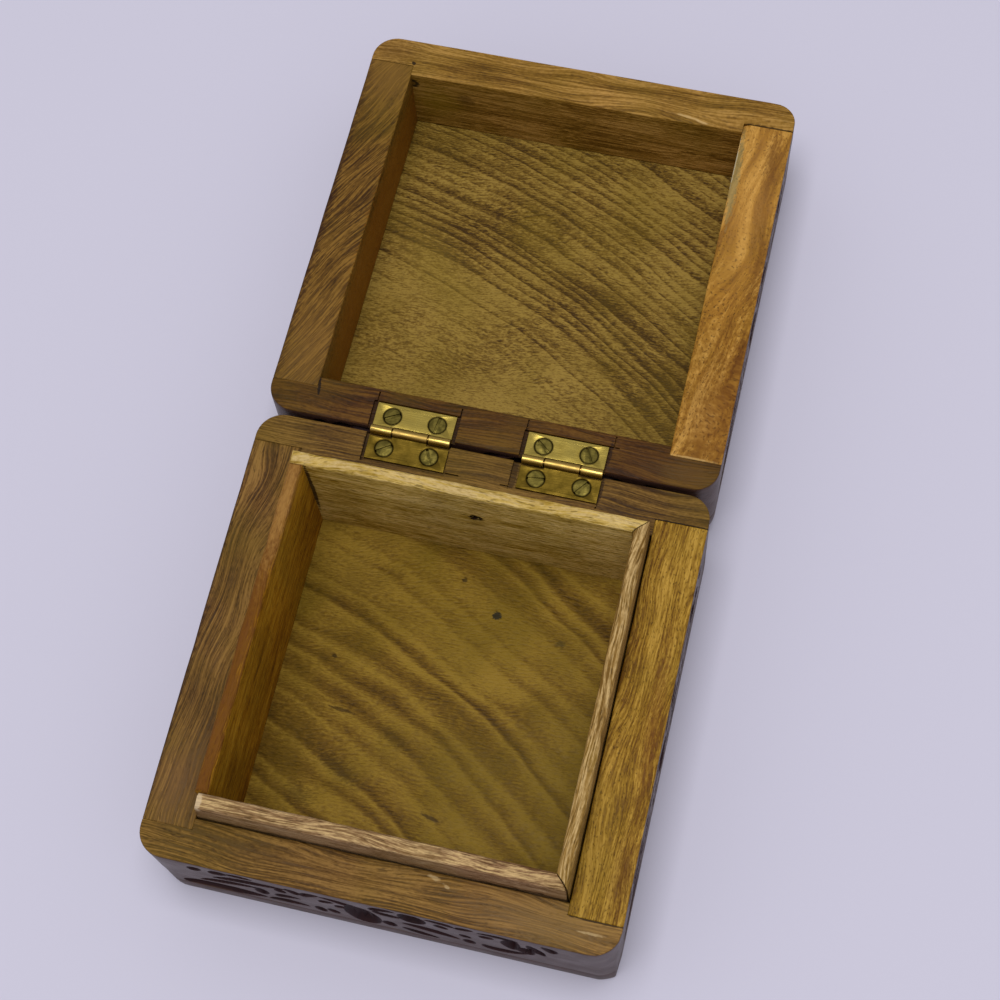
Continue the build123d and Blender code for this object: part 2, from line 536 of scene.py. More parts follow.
# The leaf spray of the front, from left to right, from the middle of the face and the underside of the box
SPRAY_MIDDLE = (-3.0, 18.3)
LEAF_SPRAY = (
    Gouge((-44.0, 8.4), (-36.5, 10.4), (-25.0, 10.9), 3.0),
    Gouge((-39.4, 14.4), (-32.7, 19.4), (-25.0, 20.0), 0.95),
    Gouge((-25.4, 20.4), (-25.1, 17.0), (-25.4, 13.6), 0.85),
    Gouge((-35.4, 20.6), (-29.5, 25.0), (-17.3, 26.0), 1.1),
    Gouge((-39.2, 24.4), (-38.8, 26.8), (-37.4, 28.2), 0.75),
    Gouge((-34.6, 25.4), (-33.6, 27.6), (-31.8, 28.5), 1.0),
    Gouge((-31.4, 27.9), (-28.6, 28.7), (-25.8, 28.1), 0.6),
    Gouge((-18.5, 27.4), (-17.0, 25.6), (-17.0, 22.8), 0.7),
    Gouge((-20.1, 24.3), (-20.9, 23.0), (-19.9, 21.4), 0.55),
    Gouge((-21.9, 14.8), (-21.0, 18.4), (-16.8, 18.2), 0.85),
    Gouge((-24.4, 9.9), (-20.6, 12.6), (-15.6, 11.2), 1.25),
    Gouge((-15.4, 22.6), (-14.8, 26.8), (-11.8, 27.4), 0.65),
    Gouge((-11.8, 26.8), (-5.8, 26.2), (-0.8, 19.6), 0.95),
    Gouge((-4.2, 23.6), (-3.0, 16.0), (-3.2, 8.4), 3.1, True),
    Gouge((-11.9, 20.4), (-11.2, 22.4), (-9.2, 23.2), 0.5),
    Gouge((-8.6, 18.4), (-8.0, 20.4), (-6.1, 21.2), 0.5),
    Gouge((-13.1, 13.8), (-13.3, 11.0), (-12.6, 8.6), 0.55),
    Gouge((-10.4, 14.2), (-10.4, 12.0), (-9.6, 10.0), 0.55),
    Gouge((2.3, 15.4), (2.0, 12.8), (2.4, 10.0), 0.85),
    Gouge((-0.4, 24.8), (0.2, 28.6), (4.8, 28.7), 0.85),
    Gouge((-0.1, 24.6), (1.5, 22.4), (5.4, 23.3), 0.85),
    Gouge((7.7, 28.6), (8.1, 25.4), (8.0, 22.0), 2.3, True),
    Gouge((10.9, 28.4), (14.9, 29.2), (16.8, 26.4), 0.75),
    Gouge((13.6, 25.4), (13.8, 23.9), (14.9, 22.8), 0.65),
    Gouge((5.4, 17.6), (11.4, 17.4), (17.2, 12.8), 1.7),
    Gouge((5.1, 12.0), (8.0, 9.6), (12.5, 7.9), 1.1),
    Gouge((17.6, 25.8), (18.6, 27.6), (20.9, 28.2), 0.65),
    Gouge((18.6, 20.4), (18.8, 18.8), (19.4, 17.6), 0.5),
    Gouge((19.5, 14.8), (19.2, 12.8), (19.6, 11.0), 0.65),
    Gouge((21.9, 26.6), (26.0, 28.2), (30.5, 27.0), 0.65),
    Gouge((22.8, 22.0), (23.3, 23.8), (24.9, 24.5), 0.65),
    Gouge((29.4, 27.4), (28.2, 22.2), (29.0, 16.0), 1.35),
    Gouge((22.8, 13.4), (24.4, 8.6), (31.9, 14.2), 1.6),
    Gouge((31.9, 21.2), (31.2, 17.6), (32.4, 14.0), 1.25),
    Gouge((32.6, 26.0), (33.9, 21.0), (35.6, 16.4), 0.75),
    Gouge((35.5, 27.8), (38.0, 26.6), (37.4, 22.6), 0.75),
)


def leaf_rows(count: int, pitch: float) -> tuple[Gouge, ...]:
    """Lays rows of the leaf spray one above the other, each turned over from the one below.

    Args:
        count: How many rows there are.
        pitch: How far apart they are in mm.

    Returns:
        The gouges, with the middle of the face as zero and the lower edge of the lowest row as zero height.
    """
    rows = []
    for row in range(count):
        flip = -1.0 if row % 2 else 1.0
        for gouge in LEAF_SPRAY:
            line = (gouge.start, gouge.bend, gouge.end)
            middle = (row + 0.5) * pitch
            points = [(x - SPRAY_MIDDLE[0], middle + flip * (z - SPRAY_MIDDLE[1])) for x, z in line]
            rows.append(Gouge(*points, gouge.wide, gouge.blunt))
    return tuple(rows)


@dataclass(frozen=True)
class Relief:
    """A spray of gouges fitted to a wall, cut to one depth with steep sides."""

    gouges: tuple[Gouge, ...]
    stretch: tuple[float, float] = (1.0, 1.0)
    shift: tuple[float, float] = (0.0, 0.0)
    deep_mm: float = 1.8
    steep: float = 2.6
    widen_mm: float = 0.65
    rib_mm: float = 1.5
    rib_share: float = 0.45

    def cut(self, u: np.ndarray, v: np.ndarray) -> tuple[np.ndarray, np.ndarray]:
        """Gives the carving at points of the face.

        Args:
            u: Places along the wall in mm, as seen from outside.
            v: Heights in mm.

        Returns:
            Depths in mm, and how far inside the border of a gouge each point lies in mm, below zero outside.
        """
        s = (u - self.shift[0]) / self.stretch[0]
        t = (v - self.shift[1]) / self.stretch[1]
        deepest = np.zeros_like(s)
        inside = np.full_like(s, -1.0)
        steps = np.linspace(0.0, 1.0, 25)
        for gouge in self.gouges:
            near = np.full_like(s, -1.0)
            spine = np.full_like(s, 99.0)
            for k in steps:
                a, b, c = (1 - k) ** 2, 2 * k * (1 - k), k * k
                x = a * gouge.start[0] + b * gouge.bend[0] + c * gouge.end[0]
                z = a * gouge.start[1] + b * gouge.bend[1] + c * gouge.end[1]
                swell = math.sin(math.pi * k)
                half = (gouge.wide + self.widen_mm) * (swell**0.35 if gouge.blunt else swell**0.7)
                away = np.hypot(s - x, t - z)
                near = np.maximum(near, half - away)
                spine = np.minimum(spine, away)
            rib = 0.5 - 0.5 * np.cos(2.0 * math.pi * spine / self.rib_mm)
            floor = self.deep_mm * (1.0 - self.rib_share * rib**3)
            sunk = floor * np.tanh(np.clip(near, 0.0, None) * self.steep / floor)
            deepest = np.maximum(deepest, sunk)
            inside = np.maximum(inside, near)
        return deepest, inside


@dataclass(frozen=True)
class CarvedField:
    """The part of an outer face that the carving covers, in metres of the tray's flat frame."""

    facing: Facing
    along: tuple[float, float]
    height: tuple[float, float]
    plane: float
    relief: Relief
    tile_mm: float = 5.2
    cell_mm: float = 0.32
    stain_mm: float = 0.25

    def run_axis(self) -> int:
        """Gives the number of the axis along the face."""
        return 1 if self.facing in (Facing.LEFT, Facing.RIGHT) else 0

    def rise_axis(self) -> int:
        """Gives the number of the axis that the heights of the carving run along."""
        return 1 if self.facing is Facing.DOWN else 2

    def out_sign(self) -> float:
        """Gives the sign of the outward direction."""
        return 1.0 if self.facing in (Facing.BACK, Facing.RIGHT) else -1.0

    def covers(self, run: float | np.ndarray, rise: float | np.ndarray) -> bool | np.ndarray:
        """Says which places along and up the face lie in the field."""
        in_run = (run > self.along[0]) & (run < self.along[1])
        return in_run & (rise > self.height[0]) & (rise < self.height[1])

    def cut_into(self, obj: bpy.types.Object) -> None:
        """Divides the face of a board finely inside the field and sinks the carving into it.

        Args:
            obj: The board, in the flat frame.
        """
        run = self.run_axis()
        rise = self.rise_axis()
        across = 3 - run - rise
        tile = self.tile_mm * MM
        slice_across(obj, run, evenly(self.along[0], self.along[1], tile))
        slice_across(obj, rise, evenly(self.height[0], self.height[1], tile))
        out = on_axis(across, self.out_sign())

        def in_field(face: Face) -> bool:
            """Says whether a face lies in the field."""
            middle = face.calc_center_median()
            return self.covers(middle[run], middle[rise]) and face.normal.dot(out) > 0.99

        with editing(obj):
            pick(obj, "FACE", in_field)
            bpy.ops.mesh.subdivide(number_cuts=round(self.tile_mm / self.cell_mm) - 1)
        count = len(obj.data.vertices)
        flat = np.empty(count * 3)
        obj.data.vertices.foreach_get("co", flat)
        co = flat.reshape(-1, 3)
        on_face = np.abs(co[:, across] - self.plane) < TOUCHING
        inside = on_face & self.covers(co[:, run], co[:, rise])
        seen_from_left = self.facing in (Facing.FRONT, Facing.RIGHT)
        middle = 0.5 * (self.along[0] + self.along[1])
        u = (co[inside, run] - middle) * (1.0 if seen_from_left else -1.0) / MM
        v = (co[inside, rise] - self.height[0]) / MM
        depth, within = self.relief.cut(u, v)
        co[inside, across] -= self.out_sign() * depth * MM
        obj.data.vertices.foreach_set("co", co.ravel())
        stained = obj.data.attributes.new(STAINED, "FLOAT", "POINT")
        reach = np.zeros(count)
        reach[inside] = np.clip(within + self.stain_mm, 0.0, None)
        stained.data.foreach_set("value", reach)
        obj.data.update()


# Finishes


@dataclass(frozen=True)
class Spot:
    """A small mark on a board, with its place and half sizes in mm of the flat frame."""

    place: tuple[float, float, float]
    reach: tuple[float, float, float]
    colour: str
    turn_deg: float = 0.0
    share: float = 0.9
    soft: float = 0.35

    def lay(self, shade: Shade, flat: Socket, mottle: Socket, colour: Socket) -> Socket:
        """Lays the mark over a colour.

        Args:
            shade: The material's nodes.
            flat: The place in mm.
            mottle: A fine noise that makes the border ragged.
            colour: The colour below.

        Returns:
            The colour as a socket.
        """
        turn = (0.0, 0.0, math.radians(self.turn_deg))
        inputs = {"Vector": flat, "Location": self.place, "Rotation": turn, "Scale": self.reach}
        local = shade.add("Mapping", inputs, {"vector_type": "TEXTURE"})
        ragged = shade.math("MULTIPLY_ADD", mottle, 0.6, shade.length(local))
        mark = shade.fit(ragged, 1.45 - self.soft, 1.45, self.share, 0.0, "SMOOTHSTEP")
        return shade.mix(mark, colour, linear(self.colour))


@dataclass(frozen=True)
class WoodFinish:
    """A board of sheesham, planed and wiped with a thin satin lacquer.

    Planing leaves long fine lines and short open pores, which read as thin dark lines and dots along the
    grain. Slow patches of straw, olive and brown run through one plank. Pores are drawn coarser than the real
    ones of a tenth of a millimetre, which would be finer than a pixel.
    """

    name: str
    dark: str
    middle: str
    light: str
    pore: str = "#2a1806"
    tint: str = "#6d5808"
    tint_share: float = 0.3
    grain_deg: float = 0.0
    bend_mm: float = 3.0
    streak_mm: tuple[float, float] = (60.0, 2.6)
    line_mm: tuple[float, float] = (14.0, 0.42)
    line_spread: float = 0.15
    mottle_mm: tuple[float, float] = (1.2, 0.45)
    pore_mm: tuple[float, float] = (2.2, 0.36)
    patch_mm: tuple[float, float] = (30.0, 16.0)
    streak_share: float = 0.4
    line_share: float = 0.42
    mottle_share: float = 0.22
    patch_share: float = 0.3
    pore_share: float = 0.5
    ring_share: float = 0.0
    ring_mm: float = 2.4
    ring_power: float = 2.5
    ring_soft: float = 0.2
    ring_from_mm: float = 0.0
    ring_centre: tuple[float, float] = (0.0, 0.0)
    arc_mm: float = 45.0
    wobble_mm: float = 2.0
    raw: str = ""
    raw_from_mm: float = 0.0
    roughness: float = 0.5
    specular: float = 0.14
    bump_mm: float = 0.12
    seed: float = 0.0
    spots: tuple[Spot, ...] = ()

    def material(self, body: Body) -> bpy.types.Material:
        """Makes the node material of a board.

        Args:
            body: The tray that the board belongs to.

        Returns:
            The material.
        """
        material, shade = new_material(self.name)
        flat = shade.flat_place(body)
        grain = self._grain(shade, flat)
        line = shade.cloud(grain, self.line_mm, 2.0, self.line_spread)
        streak = shade.cloud(grain, self.streak_mm, 3.0)
        mottle = shade.cloud(grain, self.mottle_mm, 2.0)
        patch = shade.cloud(grain, self.patch_mm, 2.0)
        layers = [(line, self.line_share), (streak, self.streak_share), (mottle, self.mottle_share)]
        layers.append((patch, self.patch_share))
        if self.ring_share:
            layers.append((self._rings(shade, flat, patch, line), self.ring_share))
        tone: Value = 0.5 - 0.5 * sum(share for _, share in layers)
        for source, share in layers:
            tone = shade.math("MULTIPLY_ADD", source, share, tone)
        colour = shade.ramp(tone, ((0.2, self.dark), (0.5, self.middle), (0.8, self.light)))
        tinted = shade.fit(shade.cloud(flat, (24.0, 24.0), 2.0), 0.3, 0.9, 0.0, self.tint_share)
        colour = shade.mix(tinted, colour, linear(self.tint))
        open_pore = shade.fit(shade.cloud(grain, self.pore_mm, 1.0), 0.76, 0.98, 0.0, self.pore_share)
        colour = shade.mix(open_pore, colour, linear(self.pore))
        if self.raw:
            colour = self._raw_top(shade, flat, line, mottle, colour)
        for spot in self.spots:
            colour = spot.lay(shade, flat, mottle, colour)
        rough = shade.math("MULTIPLY_ADD", line, 0.16, self.roughness)
        height = shade.math("MULTIPLY_ADD", mottle, 0.5, shade.math("SUBTRACT", line, open_pore))
        look = {"Base Color": colour, "Roughness": rough, "IOR": 1.5, "Specular IOR Level": self.specular}
        shade.surface({**look, "Normal": shade.bump(height, 0.6, self.bump_mm)})
        return material

    def _grain(self, shade: Shade, flat: Socket) -> Socket:
        """Turns the place so that its first axis follows the grain, and lets the grain wander.

        Args:
            shade: The material's nodes.
            flat: The place in mm.

        Returns:
            The turned place as a vector socket.
        """
        turn = {"Rotation": (0.0, 0.0, -math.radians(self.grain_deg)), "Location": (self.seed, 3.7, 1.9)}
        straight = shade.add("Mapping", {"Vector": flat, **turn})
        aside = shade.math("MULTIPLY", shade.cloud(straight, (34.0, 13.0), 1.0), self.bend_mm)
        return shade.vector("ADD", straight, shade.joined(0.0, aside))

    def _rings(self, shade: Shade, flat: Socket, patch: Socket, line: Socket) -> Socket:
        """Adds the arcs of the growth rings: each starts at a dark line and fades to the next.

        Args:
            shade: The material's nodes.
            flat: The place in mm.
            patch: A slow noise that bends the arcs.
            line: The fine lines of the grain, which break the arcs up.

        Returns:
            The rings as a value socket, low at the dark lines.
        """
        from_heart = shade.vector("SUBTRACT", flat, (*self.ring_centre, 0.0))
        radius = shade.length(shade.vector("MULTIPLY", from_heart, (1.0, 1.0, 0.0)))
        bent = shade.math("MULTIPLY_ADD", patch, self.wobble_mm, radius)
        across = shade.math("DIVIDE", bent, self.ring_mm)
        turn = shade.math("ARCTAN2", shade.axis(from_heart, 1), shade.axis(from_heart, 0))
        along = shade.math("MULTIPLY", turn, math.hypot(*self.ring_centre) / self.arc_mm)
        place = shade.joined(across, along, self.seed)
        inputs = {"Vector": place, "Scale": 0.6, "Detail": 1.0, "Roughness": 0.5}
        spaced = shade.math("MULTIPLY_ADD", shade.add("TexNoise", inputs), 2.2, across)
        number = {"W": shade.math("FLOOR", spaced)}
        chance = shade.add("TexWhiteNoise", number, {"noise_dimensions": "1D"})
        past = shade.math("FRACT", spaced)
        share = shade.fit(chance, 0.0, 1.0, 0.3, 1.0)
        risen = shade.fit(past, 0.0, self.ring_soft, 0.0, share, "SMOOTHSTEP")
        fading = shade.math("POWER", shade.math("SUBTRACT", 1.0, past), self.ring_power)
        broken = shade.fit(line, 0.0, 1.0, 1.1, 0.85)
        clear = shade.fit(radius, self.ring_from_mm, self.ring_from_mm + 20.0, 0.3, broken)
        dark = shade.math("MULTIPLY", shade.math("MULTIPLY", fading, risen), clear)
        return shade.math("SUBTRACT", 0.8, dark)

    def _raw_top(self, shade: Shade, flat: Socket, line: Socket, mottle: Socket, colour: Socket) -> Socket:
        """Lays the pale bare wood of a sawn top edge over the colour.

        Args:
            shade: The material's nodes.
            flat: The place in mm.
            line: The fine lines of the grain.
            mottle: The fuzz of the grain.
            colour: The colour below.

        Returns:
            The colour as a socket.
        """
        ragged = shade.math("MULTIPLY_ADD", line, 0.9, shade.axis(flat, 2))
        sawn = shade.fit(ragged, self.raw_from_mm, self.raw_from_mm + 0.5, 0.0, 0.9)
        fuzz = shade.fit(shade.math("MULTIPLY", line, mottle), 0.02, 0.5, 0.52, 0.0)
        return shade.mix(sawn, colour, shade.mix(fuzz, linear(self.raw), linear(self.dark)))


@dataclass(frozen=True)
class LacquerFinish:
    """Sheesham stained dark and brushed with gloss lacquer, as on the carved outside of the box.

    The lacquer mirrors the pale surroundings at a low angle, so the high parts look grey. The stain gathers
    in the hollows of the carving, which look almost black and dull.
    """

    name: str
    stain: str = "#4a3229"
    line: str = "#2a1912"
    hollow: str = "#2f1719"
    hollow_line: str = "#160a0b"
    grain_deg: float = 0.0
    roughness: float = 0.34
    hollow_roughness: float = 0.62
    specular: float = 0.2

    def material(self, body: Body) -> bpy.types.Material:
        """Makes the node material.

        Args:
            body: The tray that the board belongs to.

        Returns:
            The material.
        """
        material, shade = new_material(self.name)
        flat = shade.flat_place(body)
        turn = (0.0, 0.0, -math.radians(self.grain_deg))
        line = shade.cloud(shade.add("Mapping", {"Vector": flat, "Rotation": turn}), (20.0, 0.7), 3.0)
        lined = shade.fit(line, 0.45, 1.0, 0.0, 0.75)
        brushed = shade.mix(lined, linear(self.stain), linear(self.line))
        pooled = shade.mix(lined, linear(self.hollow), linear(self.hollow_line))
        within = shade.add("Attribute", {}, {"attribute_name": STAINED}, 2)
        sunk = shade.fit(within, 0.05, 0.2, kind="SMOOTHSTEP")
        gloss = shade.math("MULTIPLY_ADD", shade.cloud(flat, (7.0, 7.0), 2.0), 0.12, self.roughness)
        rough = shade.fit(sunk, 0.0, 1.0, gloss, self.hollow_roughness)
        look = {"Base Color": shade.mix(sunk, brushed, pooled), "Roughness": rough, "IOR": 1.5}
        shade.surface({**look, "Specular IOR Level": self.specular, "Normal": shade.bump(line, 0.4, 0.08)})
        return material


@dataclass(frozen=True)
class BrassFinish:
    """Pressed or drawn brass, handled for years.

    The metal is a warm yellow where it is rubbed, and the barrel that stands proud is lighter on top, partly
    rubbed and partly a painted highlight. It is olive where tarnish lies in patches, with a dark line round
    each screw head that is partly dirt and partly painted shade where the head sits in its countersink.
    """

    name: str
    bright: str
    tarnish: str
    tarnish_share: float
    roughness: float
    patch_mm: float = 3.5
    rub_mm: float = 0.25
    # Colour laid on the top of the barrel: rubbed brass and a painted highlight
    barrel: str = "#c0a058"
    barrel_from_mm: float = 31.6
    # Colour of the ring round the screw heads: dirt and painted shade in the crevice
    dirt_and_crevice_shade: str = "#1a1304"
    dirt_and_crevice_shade_share: float = 0.85
    hinge_x_mm: float = 17.1
    screw_x_mm: float = 5.1
    screw_y_mm: float = 3.9
    screw_radius_mm: float = 2.0

    def material(self, body: Body) -> bpy.types.Material:
        """Makes the node material.

        Args:
            body: The tray that the hinge part is screwed to.

        Returns:
            The material.
        """
        material, shade = new_material(self.name)
        flat = shade.flat_place(body)
        patch = shade.cloud(flat, (self.patch_mm, self.patch_mm), 4.0, 0.16)
        dull = shade.math("MULTIPLY", patch, self.tarnish_share)
        colour = shade.mix(dull, linear(self.bright), linear(self.tarnish))
        # Painted highlight with rubbed brass: the top of the barrel is laid lighter by height
        height = shade.axis(flat, 2)
        rubbed_and_highlit = shade.fit(height, self.barrel_from_mm, self.barrel_from_mm + 0.7, 0.0, 0.75)
        colour = shade.mix(rubbed_and_highlit, colour, linear(self.barrel))
        # Dirt and painted shade in a dark ring round each screw head
        colour = shade.mix(self._screw_line(shade, flat, body), colour, linear(self.dirt_and_crevice_shade))
        rough = shade.math("MULTIPLY_ADD", dull, 0.3, self.roughness)
        dented = shade.bump(shade.cloud(flat, (5.0, 4.0), 1.0, 0.5), 0.5, 0.3)
        fine = shade.bump(shade.cloud(flat, (3.0, self.rub_mm), 2.0), 0.25, 0.03, dented)
        shade.surface({"Base Color": colour, "Metallic": 1.0, "Roughness": rough, "Normal": fine})
        return material

    def _screw_line(self, shade: Shade, flat: Socket, body: Body) -> Socket:
        """Gives the share of dirt and painted shade round the screw heads, which repeat at both hinges.

        Args:
            shade: The material's nodes.
            flat: The place in mm.
            body: The tray that the screws hold to.

        Returns:
            The share as a value socket.
        """
        row = HINGE_LINE.y / MM + (self.screw_y_mm if body is Body.LID else -self.screw_y_mm)
        side = shade.axis(flat, 0)
        for step in (0.0, self.hinge_x_mm, self.screw_x_mm):
            side = shade.math("ABSOLUTE", shade.math("SUBTRACT", side, step))
        ahead = shade.math("SUBTRACT", shade.axis(flat, 1), row)
        away = shade.length(shade.joined(side, ahead))
        off = shade.math("ABSOLUTE", shade.math("SUBTRACT", away, self.screw_radius_mm))
        return shade.fit(off, 0.1, 0.34, self.dirt_and_crevice_shade_share, 0.0)


# Boards


@dataclass(frozen=True)
class Corner:
    """An upright corner of a tray: its rounding at the rim and the foot, and how a plane has worn it.

    flat is the share of the way from a round to a straight cut at the rim, and drawn_in_mm is how far the
    foot of the corner stands in from the side.
    """

    rim_mm: float
    foot_mm: float
    flat: float = 0.0
    drawn_in_mm: float = 0.0


@dataclass
class Tray:
    """What the boards of one half of the box share, in the flat frame of that half."""

    body: Body
    front_node: str
    back_node: str
    left_node: str
    right_node: str
    panel_node: str
    corners: dict[tuple[bool, bool], Corner] = field(default_factory=dict)
    corner_mm: float = 6.0
    ease_mm: float = 0.35
    panel_ease_mm: float = 0.25
    wear_mm: float = 0.1
    wear_size_mm: tuple[float, float, float] = (9.0, 9.0, 5.0)
    skin_mm: float = 0.34
    rim_mm: float = 3.2
    past_corner_mm: float = 0.6
    end_margin_mm: float = 1.2
    foot_margin_mm: float = 0.9
    rim_margin_mm: float = 1.6

    def outline(self) -> tuple[Vector, Vector]:
        """Gives the box round the front and back walls.

        Returns:
            Its lowest and highest corner in metres.
        """
        front, back = flat_box(self.front_node), flat_box(self.back_node)
        lo = Vector([min(front[0][i], back[0][i]) for i in range(3)])
        hi = Vector([max(front[1][i], back[1][i]) for i in range(3)])
        return lo, hi

    def dress(
        self,
        obj: bpy.types.Object,
        node: str,
        finish: WoodFinish,
        slot: str,
        outside: LacquerFinish | None = None,
    ) -> bpy.types.Object:
        """Gives a finished board its materials and hangs it on its body.

        Args:
            obj: The board, in the flat frame.
            node: The CAD node that it stands for.
            finish: Its wood.
            slot: The material slot of the record; not used.
            outside: The lacquer of the faces at the outside of the box.

        Returns:
            The board.
        """
        smooth(obj)
        obj.data.materials.clear()
        obj.data.materials.append(finish.material(self.body))
        if outside:
            obj.data.materials.append(outside.material(self.body))
            self._lacquer(obj)
        if self.body is Body.LID:
            obj.data.transform(LEAN_BACK)
        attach(obj, self.body.value)
        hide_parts(node)
        LOG.info("board %s with %d faces", obj.name, len(obj.data.polygons))
        return obj

    def _lacquer(self, obj: bpy.types.Object) -> None:
        """Gives the second material to the faces at the outside of the tray.

        Args:
            obj: The board, in the flat frame.
        """
        lo, hi = self.outline()
        foot = flat_box(self.panel_node)[0].z
        middle = (lo + hi) / 2
        half = (hi - lo) / 2
        skin = self.skin_mm * MM
        stained = obj.data.attributes.get(STAINED)
        for face in obj.data.polygons:
            out = [abs(face.center[i] - middle[i]) - half[i] for i in (0, 1)]
            at_corner = min(out) > -self.corner_mm * MM
            points_out = sum(face.normal[i] * (face.center[i] - middle[i]) for i in (0, 1)) > 0.0
            outer = (max(out) > -skin or at_corner) and points_out and face.normal.z < 0.55
            low = face.center.z < foot + self.rim_mm * MM and max(out) > -self.rim_mm * MM
            below = (face.center.z < foot + skin or low) and face.normal.z < -0.05
            sunk = stained and max(stained.data[v].value for v in face.vertices) > 0.0
            if outer or below or sunk:
                face.material_index = 1

    def taper_corners(self, obj: bpy.types.Object) -> None:
        """Gives each upright corner its own rounding, from the rim to the foot.

        Args:
            obj: A board of the tray, in the flat frame, with its corners rounded.
        """
        lo, hi = self.outline()
        foot = flat_box(self.panel_node)[0].z
        middle = (lo + hi) / 2
        half = (hi - lo) / 2
        full = self.corner_mm * MM
        for vertex in obj.data.vertices:
            side = [1.0 if vertex.co[i] > middle[i] else -1.0 for i in (0, 1)]
            past = Vector([abs(vertex.co[i] - middle[i]) - half[i] + full for i in (0, 1)])
            if min(past) < SAME or past.length < 0.6 * full:
                continue
            share = (hi.z - vertex.co.z) / (hi.z - foot)
            corner = self.corners[(side[0] > 0, side[1] > 0)]
            radius = (corner.rim_mm + (corner.foot_mm - corner.rim_mm) * share) * MM
            flat = corner.flat * (1.0 - share)
            chord = math.cos(math.pi / 4) / math.cos(math.atan2(past[1], past[0]) - math.pi / 4)
            reach = past.normalized() * (past.length - full + radius * (1.0 - flat + flat * chord))
            reach[0] -= corner.drawn_in_mm * MM * share * past[1] / past.length
            for i in (0, 1):
                vertex.co[i] = middle[i] + side[i] * (half[i] - radius + reach[i])

    def wall(
        self,
        name: str,
        node: str,
        facing: Facing,
        carving: Relief,
        cutters: list[bpy.types.Object] | None = None,
    ) -> bpy.types.Object:
        """Models one wall: a block with its outer corners rounded, its edges eased and its outer face carved.

        Args:
            name: The piece's name.
            node: The CAD node that it stands for.
            facing: Which way the outer face looks.
            carving: What is carved into the outer face.
            cutters: Blocks that are cut out of it for its joints and hinges.

        Returns:
            The wall in the flat frame.
        """
        lo, hi = flat_box(node)
        obj = add_box(name, lo, hi)
        run = 0 if facing in (Facing.FRONT, Facing.BACK) else 1
        outer = lo[1 - run] if facing in (Facing.FRONT, Facing.LEFT) else hi[1 - run]
        if run == 0:
            self._round_corners(obj, outer)
        round_edges(obj, is_sharp, self.ease_mm * MM, 3)
        if run == 0:
            self.taper_corners(obj)
        cut_away(obj, cutters or [])
        inset = self.corner_mm + self.past_corner_mm if run == 0 else self.end_margin_mm
        along = (lo[run] + inset * MM, hi[run] - inset * MM)
        height = (lo.z + self.foot_margin_mm * MM, hi.z - self.rim_margin_mm * MM)
        CarvedField(facing, along, height, outer, carving).cut_into(obj)
        weather(obj, lo, hi, self.wear_mm * MM, Vector(self.wear_size_mm) * MM)
        return obj

    def _round_corners(self, obj: bpy.types.Object, outer: float) -> None:
        """Rounds the two upright outer corners of a front or back wall.

        Args:
            obj: The wall as a plain block.
            outer: Where its outer face is, in metres.
        """

        def upright_outer(edge: Edge) -> bool:
            """Says whether an edge is one of the two."""
            return is_upright(edge) and abs(edge.verts[0].co.y - outer) < SAME

        round_edges(obj, upright_outer, self.corner_mm * MM, 10)

    def rabbets(self) -> list[bpy.types.Object]:
        """Gives the blocks that cut the steps of a front or back wall, for the ends of the side walls.

        Returns:
            The blocks.
        """
        cutters = []
        for node in (self.left_node, self.right_node):
            lo, hi = flat_box(node)
            side = -1.0 if node == self.left_node else 1.0
            lo.x += min(side, 0.0) * OVERCUT
            hi.x += max(side, 0.0) * OVERCUT
            lo.z -= OVERCUT
            hi.z += OVERCUT
            cutters.append(add_box("step", lo, hi))
        return cutters

    def panel(self, name: str, outer_edge_mm: float) -> bpy.types.Object:
        """Models the panel that closes the tray, with rounded corners and eased edges.

        Args:
            name: The piece's name.
            outer_edge_mm: Rounding of the edge at the outside of the box, in mm.

        Returns:
            The panel in the flat frame.
        """
        lo, hi = flat_box(self.panel_node)
        obj = add_box(name, lo, hi)

        def at_foot(edge: Edge) -> bool:
            """Says whether an edge lies round the outside face."""
            return is_sharp(edge) and all(abs(v.co.z - lo.z) < TOUCHING for v in edge.verts)

        round_edges(obj, is_upright, self.corner_mm * MM, 10)
        self.taper_corners(obj)
        round_edges(obj, at_foot, outer_edge_mm * MM, 6)
        round_edges(obj, is_sharp, self.panel_ease_mm * MM, 2)
        return obj


